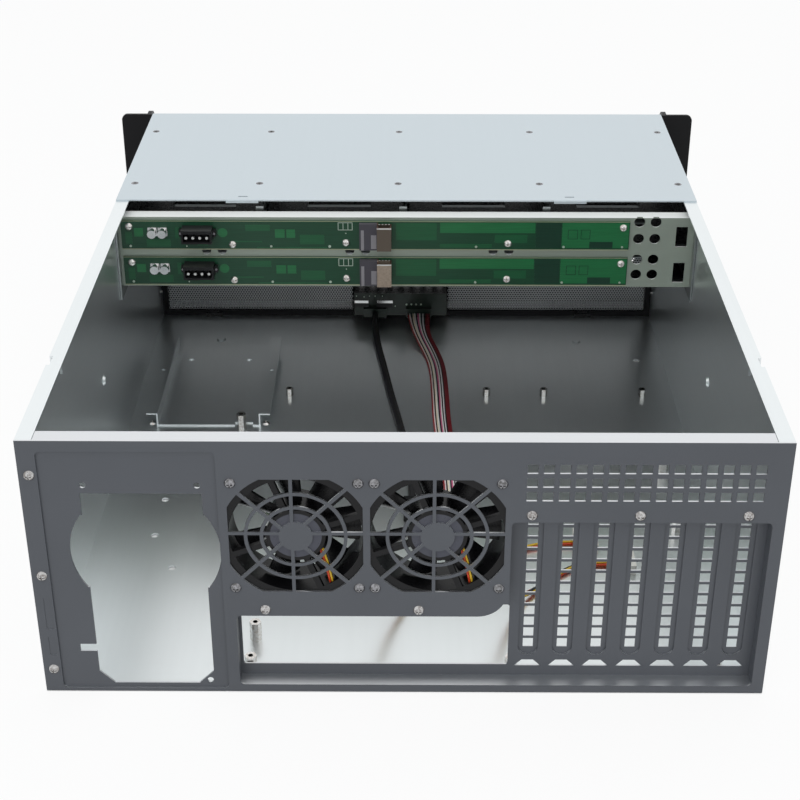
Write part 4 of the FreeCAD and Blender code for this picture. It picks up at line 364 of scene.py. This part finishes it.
def slab(vertices, faces, picks, pick, low, high):
    """Adds one box between two corners."""
    base = len(vertices)
    for z in (low.z, high.z):
        vertices += [(low.x, low.y, z), (high.x, low.y, z), (high.x, high.y, z), (low.x, high.y, z)]
    for corners in ((3, 2, 1, 0), (4, 5, 6, 7), (0, 1, 5, 4), (1, 2, 6, 5), (2, 3, 7, 6), (3, 0, 4, 7)):
        faces.append(tuple(base + k for k in corners))
        picks.append(pick)


def disc(vertices, faces, picks, pick, centre, radius, depth, sides=20):
    """Adds one short round boss that faces -Y."""
    base = len(vertices)
    for y in (centre.y, centre.y - depth):
        for k in range(sides):
            turn = 2 * math.pi * k / sides
            vertices.append((centre.x + radius * math.cos(turn), y, centre.z + radius * math.sin(turn)))
    for k in range(sides):
        after = (k + 1) % sides
        faces.append((base + k, base + after, base + sides + after, base + sides + k))
        picks.append(pick)
    faces.append(tuple(base + k for k in range(sides))[::-1])
    faces.append(tuple(base + sides + k for k in range(sides)))
    picks += [pick, pick]


# ------------------------------------------------------------------------------------ boards
# All places are in millimetres from the board's lower left corner.
# Copper areas under the solder mask: left, right, bottom, top and tone.
POURS = [
    (113.7, 120.8, 9.6, 16.3, 2), (122.1, 128.5, 9.6, 16.3, 2), (18.5, 36.2, 2.4, 8.2, 1),
    (9.7, 16.3, 10.4, 17.1, 2), (3.0, 8.0, 4.5, 14.0, 1), (40.0, 43.0, 9.0, 18.0, 1),
    (56.0, 64.0, 3.0, 6.5, 1), (84.0, 104.0, 6.0, 7.0, 1), (92.0, 110.0, 15.0, 20.0, 1),
    (100.0, 152.0, 1.2, 2.2, 1), (132.0, 150.0, 4.5, 12.0, 1), (203.0, 233.0, 8.0, 21.5, 1),
    (235.5, 305.6, 13.8, 22.0, 2), (235.5, 273.9, 2.0, 5.0, 1), (276.0, 300.0, 6.0, 12.5, 1),
    (306.3, 324.8, 2.0, 22.0, 0), (325.5, 374.6, 7.0, 22.0, 2), (325.5, 346.0, 2.0, 7.0, 2),
    (346.0, 363.2, 2.0, 7.0, 0), (363.2, 374.6, 2.0, 7.0, 2),
]
# One round copper area, and the printed or copper frames with their inner bars.
PATCH = (75.0, 13.6, 3.6)
SILK_FRAMES = [(160.2, 171.0, 15.8, 22.0, 2), (329.8, 337.1, 9.0, 16.6, 0), (339.3, 346.3, 9.0, 16.6, 0)]
SILK_LINE = 0.45
# Solder dots: place and radius.
DOTS = [(6.4, 2.8, 0.9), (48.0, 2.8, 0.5), (110.6, 2.8, 0.9), (153.9, 2.8, 1.0), (262.3, 2.8, 0.9),
        (327.0, 2.8, 0.9), (370.3, 2.8, 0.8), (166.0, 13.4, 0.4)]
ART_DEPTH = 0.06 * MM
SAWN_FOOT, SAWN_TOP = 0.7 * MM, 0.4 * MM
# A FACE is how far the socket stands off the board there.
# The data socket's contacts, its shell's left, right and top, and the pins in its mouth.
CONTACTS = [(177.2, 179.4, 1.2, 17.1), (184.6, 188.6, 2.4, 13.3)]
CONTACT_FACE, CONTACT_DEPTH = 3.4, 0.3
SHELL = (189.0, 199.6, 20.8)
SHELL_FACE, RIM_DEPTH, RIM_HEIGHT = 8.0, 0.15, 1.0
MOUTH_PINS = [190.2, 192.6, 195.0, 197.4]
# The power socket's pins, and the marks on its wings.
PINS = [49.2, 54.28, 59.36, 64.44]
PIN_FACE, PIN_HEIGHT, PIN_RADIUS = 10.0, 13.6, 1.05
WING_MARKS = [44.4, 69.2]
WING_FACE, WING_HEIGHT, MARK_RADIUS = 4.0, 14.5, 0.9


def board_art(node):
    """Copper areas, solder dots, printed outlines and the pale sawn edges of one backplane."""
    low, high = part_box(node)
    face = low.y
    vertices, faces, picks = [], [], []

    def spot(x, z):
        return Vector((low.x + x * MM, face, low.z + z * MM))

    def patch(x0, x1, z0, z1, pick, depth=ART_DEPTH):
        corner, far = spot(x0, z0), spot(x1, z1)
        corner.y -= depth
        slab(vertices, faces, picks, pick, corner, far)

    for x0, x1, z0, z1, tone in POURS:
        patch(x0, x1, z0, z1, tone)
    x, z, radius = PATCH
    disc(vertices, faces, picks, 2, spot(x, z), radius * MM, ART_DEPTH * 0.8, 32)
    for x0, x1, z0, z1, splits in SILK_FRAMES:
        pick = 3 if splits else 0
        bars = [(x0, x1, z0, z0 + SILK_LINE), (x0, x1, z1 - SILK_LINE, z1)]
        bars += [(x0, x0 + SILK_LINE, z0, z1), (x1 - SILK_LINE, x1, z0, z1)]
        for index in range(1, splits + 1):
            x = x0 + (x1 - x0) * index / (splits + 1)
            bars.append((x, x + SILK_LINE, z0, z1))
        for bar in bars:
            patch(*bar, pick, ART_DEPTH * 1.4)
    for x, z, radius in DOTS:
        disc(vertices, faces, picks, 4, spot(x, z), radius * MM, 0.35 * MM, 12)
    for z0, z1 in ((low.z, low.z + SAWN_FOOT), (high.z - SAWN_TOP, high.z)):
        corner = Vector((low.x, face - ART_DEPTH, z0))
        slab(vertices, faces, picks, 5, corner, Vector((high.x, face, z1)))
    materials = [POUR_DARK, POUR, POUR_LIGHT, SILK, SOLDER, BOARD_EDGE]
    art = mesh_piece(node + "_art", vertices, faces, materials, CASE, picks)


def socket_details(node):
    """Contacts and a bright rim on the data socket, and bright pin ends in the power socket."""
    low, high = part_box(node)
    vertices, faces, picks = [], [], []

    def spot(x, depth, z):
        return Vector((low.x + x * MM, low.y - depth * MM, low.z + z * MM))

    for x0, x1, z0, z1 in CONTACTS:
        near = spot(x0, CONTACT_FACE + CONTACT_DEPTH, z0)
        slab(vertices, faces, picks, 0, near, spot(x1, CONTACT_FACE, z1))
    left, right, top = SHELL
    near = spot(left, SHELL_FACE + RIM_DEPTH, top - RIM_HEIGHT)
    slab(vertices, faces, picks, 1, near, spot(right, SHELL_FACE, top))
    for x in MOUTH_PINS:
        slab(vertices, faces, picks, 1, spot(x, 1.6, top), spot(x + 1.1, 0.5, top + 0.2))
    for x in PINS:
        disc(vertices, faces, picks, 1, spot(x, PIN_FACE, PIN_HEIGHT), PIN_RADIUS * MM, 0.3 * MM, 16)
    for x in WING_MARKS:
        disc(vertices, faces, picks, 0, spot(x, WING_FACE, WING_HEIGHT), MARK_RADIUS * MM, 0.2 * MM, 16)
    details = mesh_piece(node + "_contacts", vertices, faces, [CONTACT_METAL, PIN_METAL], CASE, picks)


# ------------------------------------------------------------------------------------ intake screen
SCREEN_PITCH = 2.25 * MM
SCREEN_SHEET = 0.5 * MM
HOLE_SHARE = 0.62


def screen_half(name, x_low, x_high, z_low, z_high, y_near, y_far, keep_out):
    """A sheet of staggered hexagonal holes between two edges, less a corner for what is in its way."""
    rise = SCREEN_PITCH * math.sqrt(3) / 2
    columns = int((x_high - x_low) // SCREEN_PITCH)
    lines = int((z_high - z_low) // rise)
    margin_x = (x_high - x_low - columns * SCREEN_PITCH) / 2
    margin_z = (z_high - z_low - lines * rise) / 2
    outer = SCREEN_PITCH / math.sqrt(3)
    corners = [(math.cos(math.radians(60 * k + 30)), math.sin(math.radians(60 * k + 30))) for k in range(6)]
    vertices, faces = [], []
    known = {}

    def point(x, z, y, ring):
        key = (round(x * 1e6), round(z * 1e6), y > y_near, ring)
        if key not in known:
            known[key] = len(vertices)
            vertices.append((x, y, z))
        return known[key]

    for line in range(lines):
        z = z_low + margin_z + (line + 0.5) * rise
        shift = 0.25 if line % 2 else -0.25
        for column in range(columns):
            x = x_low + margin_x + (column + 0.5 + shift) * SCREEN_PITCH
            if keep_out[0] < x < keep_out[1] and z < keep_out[2]:
                continue
            rings = {}
            for y in (y_near, y_far):
                rings[y] = [
                    (
                        point(x + outer * c, z + outer * s, y, 0),
                        point(x + outer * HOLE_SHARE * c, z + outer * HOLE_SHARE * s, y, 1),
                    )
                    for c, s in corners
                ]
            for k in range(6):
                after = (k + 1) % 6
                near, far = rings[y_near], rings[y_far]
                faces.append((near[k][0], near[after][0], near[after][1], near[k][1]))
                faces.append((far[k][1], far[after][1], far[after][0], far[k][0]))
                faces.append((near[k][1], near[after][1], far[after][1], far[k][1]))
    screen = mesh_piece(name, vertices, faces, [SCREEN_METAL])
    return screen


def intake_screen():
    """Two halves of one screen, cut round the front connector board."""
    low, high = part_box("intake_mesh")
    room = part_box("front_io_board")
    keep_out = (room[0].x - 2 * MM, room[1].x + 2 * MM, room[1].z + 3 * MM)
    near = low.y + 0.2 * MM
    far = near + SCREEN_SHEET
    middle = (room[0].x + room[1].x) / 2
    left = screen_half("screen_left_half", low.x, middle, low.z, high.z, near, far, keep_out)
    screen_half("screen_right_half", middle, high.x, low.z, high.z, near, far, keep_out)
    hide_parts("intake_mesh")


# ------------------------------------------------------------------------------------ front connectors
# Places are in millimetres from the middle of the case and from its underside.
HEADER_DEPTH = 5.0
USB_PORTS = [(-44.6, -32.8), (-25.4, -11.7)]
# The steel and the plastic part of a port: bottom, top, how far it stands off the board, and material.
PORT_PARTS = [(21.4, 23.8, 3.4, 0), (17.0, 21.4, 3.0, 1)]
LOOM_PINS = [0.3 + 4.15 * index for index in range(4)]
LOOM_PIN_Z, LOOM_PIN_SIZE = 18.9 * MM, 0.8 * MM


def io_details():
    """Steel shells, pins and solder dots on the small front connector board."""
    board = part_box("front_io_board")[0].y + HEADER_DEPTH * MM
    vertices, faces, picks = [], [], []
    for start, end in USB_PORTS:
        for foot, top, depth, pick in PORT_PARTS:
            corner = Vector((start * MM, board - depth * MM, foot * MM))
            slab(vertices, faces, picks, pick, corner, Vector((end * MM, board, top * MM)))
    for x in LOOM_PINS:
        pin = Vector((x * MM, board, LOOM_PIN_Z))
        disc(vertices, faces, picks, 2, pin, LOOM_PIN_SIZE, LOOM_PIN_SIZE, 12)
    for index in range(7):
        x = -43.0 + 5.6 * index + rng.uniform(-1.2, 1.2)
        z = rng.choice((17.0, 25.8, 26.6))
        disc(vertices, faces, picks, 2, Vector((x * MM, board, z * MM)), 0.45 * MM, 0.3 * MM, 10)
    details = mesh_piece("front_sockets", vertices, faces, [SHINY, SOCKET_PLASTIC, SOLDER], CASE, picks)


# ------------------------------------------------------------------------------------ cables
# Sizes in millimetres; a wire's is its radius. A cable lies a hair above the tub's sheet.
SHEET, LIFT = 1.2, 0.1
USB_RADIUS, LEAD_RADIUS = 2.7, 2.0
LOOM_WIDTH, LOOM_HEIGHT = 14.0, 1.5
LOOM_WIRE, LEAD_WIRE, LEAD_TWIST = 0.56, 0.80, 1.15
USB_Z = SHEET + USB_RADIUS + LIFT
LOOM_Z = SHEET + LOOM_HEIGHT / 2 + LIFT
LEAD_Z = SHEET + LEAD_RADIUS + LIFT
# The front connector board and the fans' inner faces, from the rear face; and where the fans' leads start.
HEADER_Y = 490
FAN_BACK = 26.2
LEFT_X, RIGHT_X = -28.7, 51.9
# Routes: across, in from the rear face, and up.
USB_ROUTE = [
    (-27, HEADER_Y - 5, 12),
    (-27, HEADER_Y - 17, 12),
    (-26, HEADER_Y - 31, 8),
    (-23.6, HEADER_Y - 49, USB_Z),
    (-18, HEADER_Y - 87, USB_Z),
    (-12.2, HEADER_Y - 130, USB_Z),
    (-4, HEADER_Y - 182, USB_Z),
    (2, HEADER_Y - 226, USB_Z),
    (5, HEADER_Y - 262, USB_Z),
    (5, HEADER_Y - 288, USB_Z),
]
LOOM_ROUTE = [
    (11, HEADER_Y - 5, 12),
    (11, HEADER_Y - 20, 12),
    (14, HEADER_Y - 38, 7.4),
    (21.5, HEADER_Y - 58, LOOM_Z),
    (26, HEADER_Y - 84, LOOM_Z),
    (27.4, HEADER_Y - 124, LOOM_Z),
    (28, HEADER_Y - 172, LOOM_Z),
    (31, HEADER_Y - 216, LOOM_Z),
    (35, HEADER_Y - 254, LOOM_Z),
    (35, HEADER_Y - 282, LOOM_Z),
]
LEAD_ROUTES = {
    "left": [
        (LEFT_X, FAN_BACK, 78),
        (LEFT_X, FAN_BACK + 12, 78),
        (LEFT_X + 3, FAN_BACK + 24, 65),
        (LEFT_X + 9, FAN_BACK + 34, 44),
        (LEFT_X + 19, FAN_BACK + 50, 20),
        (LEFT_X + 34, FAN_BACK + 68, 6),
        (LEFT_X + 53, FAN_BACK + 83, LEAD_Z),
        (LEFT_X + 76, FAN_BACK + 97, LEAD_Z),
        (LEFT_X + 100, FAN_BACK + 114, LEAD_Z),
        (LEFT_X + 122, FAN_BACK + 125, LEAD_Z),
        (LEFT_X + 144, FAN_BACK + 125, LEAD_Z),
    ],
    "right": [
        (RIGHT_X, FAN_BACK, 78),
        (RIGHT_X, FAN_BACK + 12, 78),
        (RIGHT_X + 2, FAN_BACK + 24, 65),
        (RIGHT_X + 6, FAN_BACK + 33, 42),
        (RIGHT_X + 13, FAN_BACK + 46, 19),
        (RIGHT_X + 23, FAN_BACK + 60, 6),
        (RIGHT_X + 37, FAN_BACK + 75, LEAD_Z),
        (RIGHT_X + 52, FAN_BACK + 91, LEAD_Z),
        (RIGHT_X + 67, FAN_BACK + 101, LEAD_Z),
        (RIGHT_X + 86, FAN_BACK + 101, LEAD_Z),
    ],
}
# Each fan's motor wires: across and up from the middle of the fan.
HUB_LEAD = [(15.0, -9.5), (17.6, -19.0), (19.2, -27.0), (20.4, -33.2)]
HUB_WIRE, HUB_PITCH, HUB_DEPTH = 0.7, 1.45, 1.5

INK = (0.014, 0.015, 0.017)
MAROON = (0.17, 0.014, 0.020)
WIRES = [
    ("wire_dark_red", (0.30, 0.018, 0.024)), ("wire_blush", (0.86, 0.74, 0.72)), ("wire_black", INK),
    ("wire_cream", (0.86, 0.78, 0.60)), ("wire_pale", (0.80, 0.78, 0.76)), ("wire_ink", INK),
    ("wire_magenta", (0.66, 0.16, 0.30)), ("wire_white", (0.82, 0.80, 0.77)), ("wire_coal", INK),
    ("wire_silver", (0.78, 0.78, 0.78)), ("wire_jet", INK), ("wire_maroon", MAROON),
    ("wire_wine", MAROON), ("wire_claret", MAROON),
]
LEAD_WIRES = [
    ("lead_orange", (0.62, 0.10, 0.010)), ("lead_red", (0.56, 0.055, 0.012)),
    ("lead_yellow", (0.68, 0.44, 0.03)), ("lead_black", (0.014, 0.014, 0.014)),
]


def route_curve(name, route):
    """The cable's centreline: one smooth spline with the route's points as its control points."""
    data = bpy.data.curves.new(name, "CURVE")
    data.dimensions = "3D"
    spline = data.splines.new("NURBS")
    spline.points.add(len(route) - 1)
    for point, place in zip(spline.points, route):
        point.co = (*at(*place), 1.0)
    spline.order_u = 3
    spline.use_endpoint_u = True
    spline.resolution_u = 12
    return data


def line_length(points):
    return sum((b - a).length for a, b in zip(points, points[1:]))


def spline_points(data):
    """Points read from the centreline, with no thickness on it."""
    holder = bpy.data.objects.new("reading", data)
    bpy.context.scene.collection.objects.link(holder)
    mesh = bpy.data.meshes.new_from_object(holder)
    points = [v.co.copy() for v in mesh.vertices]
    bpy.data.objects.remove(holder)
    bpy.data.meshes.remove(mesh)
    return points


def wire_jacket(name, color, roughness=0.42):
    return coated(name, color, roughness, 1500.0, 0.00002)


def heading(points, index):
    """From the point before one to the point after it."""
    return points[min(index + 1, len(points) - 1)] - points[max(index - 1, 0)]


def tube(points, radius, sides, vertices, faces, picks, pick):
    """Adds one round wire along a list of points."""
    base = len(vertices)
    for index, point in enumerate(points):
        ahead = heading(points, index).normalized()
        side = ahead.cross(Vector((0, 0, 1)))
        side = side.normalized() if side.length > 0.05 else Vector((1, 0, 0))
        over = side.cross(ahead).normalized()
        for k in range(sides):
            turn = 2 * math.pi * k / sides
            vertices.append(point + side * (radius * math.cos(turn)) + over * (radius * math.sin(turn)))
    for index in range(len(points) - 1):
        for k in range(sides):
            a = base + index * sides + k
            b = base + index * sides + (k + 1) % sides
            faces.append((a, b, b + sides, a + sides))
            picks.append(pick)
    faces.append(tuple(base + k for k in range(sides))[::-1])
    faces.append(tuple(base + (len(points) - 1) * sides + k for k in range(sides)))
    picks += [pick, pick]


def side_of(points, index):
    """The level direction across a line of points."""
    ahead = heading(points, index)
    ahead.z = 0
    ahead.normalize()
    return Vector((ahead.y, -ahead.x, 0))


def usb_cable():
    """One round black cable."""
    data = route_curve("usb_line", USB_ROUTE)
    length = line_length(spline_points(data))
    data.bevel_depth = USB_RADIUS * MM
    data.bevel_resolution = 6
    data.use_fill_caps = True
    data.materials.append(wire_jacket("cable_jacket", (0.012, 0.012, 0.013), 0.5))
    cable = bpy.data.objects.new("usb_jacket", data)
    bpy.context.scene.collection.objects.link(cable)
    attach(cable, CASE)
    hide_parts("usb_cable")


def panel_loom():
    """Fourteen wires lying side by side, which open and close a little along the way."""
    points = spline_points(route_curve("loom_line", LOOM_ROUTE))
    vertices, faces, picks = [], [], []
    count = len(WIRES)
    pitch = LOOM_WIDTH / count * MM
    for number in range(count):
        line = []
        for index, point in enumerate(points):
            share = index / (len(points) - 1)
            drift = 0.10 * math.sin(7 * share + number) * math.sin(math.pi * share)
            fan_out = 1.0 + 0.45 * max(0.0, 1 - share / 0.22) ** 1.5
            across = ((count - 1) / 2 - number + drift) * pitch * fan_out
            lift = 0.12 * MM * math.sin(5 * share * math.pi + 2.1 * number)
            line.append(point + side_of(points, index) * across + Vector((0, 0, lift)))
        tube(line, LOOM_WIRE * MM, 10, vertices, faces, picks, number)
    materials = [wire_jacket(name, color) for name, color in WIRES]
    loom = mesh_piece("panel_wires", vertices, faces, materials, CASE, picks, True)
    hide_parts("panel_loom")


def fan_lead(side, materials):
    """Four thin wires laid together with a slow twist."""
    points = spline_points(route_curve(f"lead_line_{side}", LEAD_ROUTES[side]))
    vertices, faces, picks = [], [], []
    for number in range(len(materials)):
        line = []
        for index, point in enumerate(points):
            flat = side_of(points, index)
            over = flat.cross(heading(points, index).normalized()).normalized()
            turn = 0.5 * math.pi * number + 5.0 * index / len(points)
            line.append(point + (flat * math.cos(turn) + over * math.sin(turn)) * (LEAD_TWIST * MM))
        tube(line, LEAD_WIRE * MM, 8, vertices, faces, picks, number)
    lead = mesh_piece(f"fan_wires_{side}", vertices, faces, materials, CASE, picks, True)
    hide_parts(f"fan_lead_{side}")


def hub_lead(side, materials):
    """Three short wires that leave a fan's motor beside a strut and pass into the frame."""
    low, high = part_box(f"fan_frame_{side}")
    middle = (low + high) / 2
    vertices, faces, picks = [], [], []
    for number in range(len(materials)):
        offset = HUB_PITCH * (number - 1)
        line = [
            Vector((middle.x + (x + offset) * MM, low.y + HUB_DEPTH * MM, middle.z + z * MM))
            for x, z in HUB_LEAD
        ]
        tube(line, HUB_WIRE * MM, 10, vertices, faces, picks, number)
    lead = mesh_piece(f"hub_lead_{side}", vertices, faces, materials, CASE, picks, True)


# ------------------------------------------------------------------------------------ stage
# Color and strength of the light on everything, and of the background.
STUDIO, BACKDROP = ((0.95, 0.98, 1.0, 1), 0.62), ((1, 1, 1, 1), 1.0)
# Lamps: place, what they face, size in metres and power in watts.
LAMPS = {
    "top_soft": ((0.0, -0.1, 1.9), (0, 0, 0), (2.0, 1.6), 11),
    "front_soft": ((-0.9, -2.0, 1.5), (0, 0, 0.05), (1.6, 1.2), 10),
    "side_soft": ((1.8, 3.0, 1.6), (0.1, 0.1, 0.1), (1.8, 1.4), 5),
}
FLOOR_HALF, FLOOR_GAP, FLOOR_WHITE = 6.0, 0.0005, 0.9
# The camera stands behind the case: metres from its rear face, middle and underside, and degrees.
CAMERA_BACK, CAMERA_RIGHT, CAMERA_HEIGHT = 0.7413, 0.002, 0.6228
CAMERA_DOWN, CAMERA_TURN = 28.36, 0.344
CAMERA_LENS, CAMERA_SHIFT = 70.96, -0.043


def background_rays(tree):
    """One for the rays that should find the white background: camera, glossy and transmission."""
    path = tree.nodes.new("ShaderNodeLightPath")
    total = path.outputs["Is Camera Ray"]
    for ray in ("Is Glossy Ray", "Is Transmission Ray"):
        added = tree.nodes.new("ShaderNodeMath")
        added.operation = "ADD"
        added.use_clamp = True
        tree.links.new(total, added.inputs[0])
        tree.links.new(path.outputs[ray], added.inputs[1])
        total = added.outputs[0]
    return total


def world():
    """A white background, and an even, slightly cool studio light on everything."""
    made = bpy.data.worlds.new("studio")
    bpy.context.scene.world = made
    made.use_nodes = True
    tree = made.node_tree
    tree.nodes.clear()
    output = tree.nodes.new("ShaderNodeOutputWorld")
    shaders = []
    for color, strength in (STUDIO, BACKDROP):
        light = tree.nodes.new("ShaderNodeBackground")
        light.inputs["Color"].default_value = color
        light.inputs["Strength"].default_value = strength
        shaders.append(light.outputs[0])
    choose = tree.nodes.new("ShaderNodeMixShader")
    tree.links.new(background_rays(tree), choose.inputs[0])
    tree.links.new(shaders[0], choose.inputs[1])
    tree.links.new(shaders[1], choose.inputs[2])
    tree.links.new(choose.outputs[0], output.inputs["Surface"])


def area_light(name, place, aim, size, power):
    """A soft lamp that polished metal doesn't mirror, so that sheet facing it keeps its own tone."""
    data = bpy.data.lights.new(name, "AREA")
    data.shape = "RECTANGLE"
    data.size, data.size_y = size
    data.energy = power
    lamp = bpy.data.objects.new(name, data)
    lamp.location = place
    lamp.visible_glossy = False
    lamp.rotation_euler = (Vector(aim) - Vector(place)).to_track_quat("-Z", "Y").to_euler()
    bpy.context.scene.collection.objects.link(lamp)


def floor():
    """A pale floor that joins the white background, and is only lit, never white, under the case."""
    half = FLOOR_HALF
    mesh = bpy.data.meshes.new("floor")
    corners = [(-half, -half, 0), (half, -half, 0), (half, half, 0), (-half, half, 0)]
    mesh.from_pydata(corners, [], [(0, 1, 2, 3)])
    s = Shader("pale_floor")
    surface = s.finish((0.90, 0.90, 0.90, 1), 0.9)
    white = s.node("Emission")
    white.inputs["Color"].default_value = (1, 1, 1, 1)
    mixed = s.node("MixShader")
    output = s.tree.nodes["Material Output"]
    half_y = (CASE_FRONT - REAR_FACE) / 2
    across = s.maths("DIVIDE", s.maths("ABSOLUTE", s.axis(0)), CASE_HALF)
    along = s.maths("SUBTRACT", s.axis(1), REAR_FACE + half_y)
    along = s.maths("DIVIDE", s.maths("ABSOLUTE", along), half_y)
    outside = s.maths("GREATER_THAN", s.maths("MAXIMUM", across, along), 1.0)
    white_share = s.maths("MULTIPLY", s.maths("MULTIPLY", background_rays(s.tree), FLOOR_WHITE), outside)
    s.link(white_share, mixed.inputs[0])
    s.link(s.bsdf.outputs[0], mixed.inputs[1])
    s.link(white.outputs[0], mixed.inputs[2])
    s.link(mixed.outputs[0], output.inputs["Surface"])
    mesh.materials.append(surface)
    ground = bpy.data.objects.new("floor", mesh)
    ground.location.z = -FLOOR_GAP
    bpy.context.scene.collection.objects.link(ground)


def camera():
    """The photograph's point of view."""
    data = bpy.data.cameras.new("camera")
    data.sensor_width = 36.0
    data.lens = CAMERA_LENS
    data.shift_y = CAMERA_SHIFT
    data.clip_end = 50.0
    eye = bpy.data.objects.new("camera", data)
    eye.location = (CAMERA_RIGHT, REAR_FACE - CAMERA_BACK, CAMERA_HEIGHT)
    eye.rotation_euler = (math.radians(90 - CAMERA_DOWN), 0, math.radians(CAMERA_TURN))
    bpy.context.scene.collection.objects.link(eye)
    bpy.context.scene.camera = eye


world()
for lamp_name, lamp_setting in LAMPS.items():
    area_light(lamp_name, *lamp_setting)
floor()
camera()
dress_nodes()
for add_to in (board_art, socket_details):
    add_to("backplane_lower")
    add_to("backplane_upper")
intake_screen()
io_details()
usb_cable()
panel_loom()
lead_jackets = [wire_jacket(name, color, 0.35) for name, color in LEAD_WIRES]
for side in LEAD_ROUTES:
    fan_lead(side, lead_jackets)
    hub_lead(side, lead_jackets[1:4])

bpy.context.scene.view_settings.view_transform = "Standard"
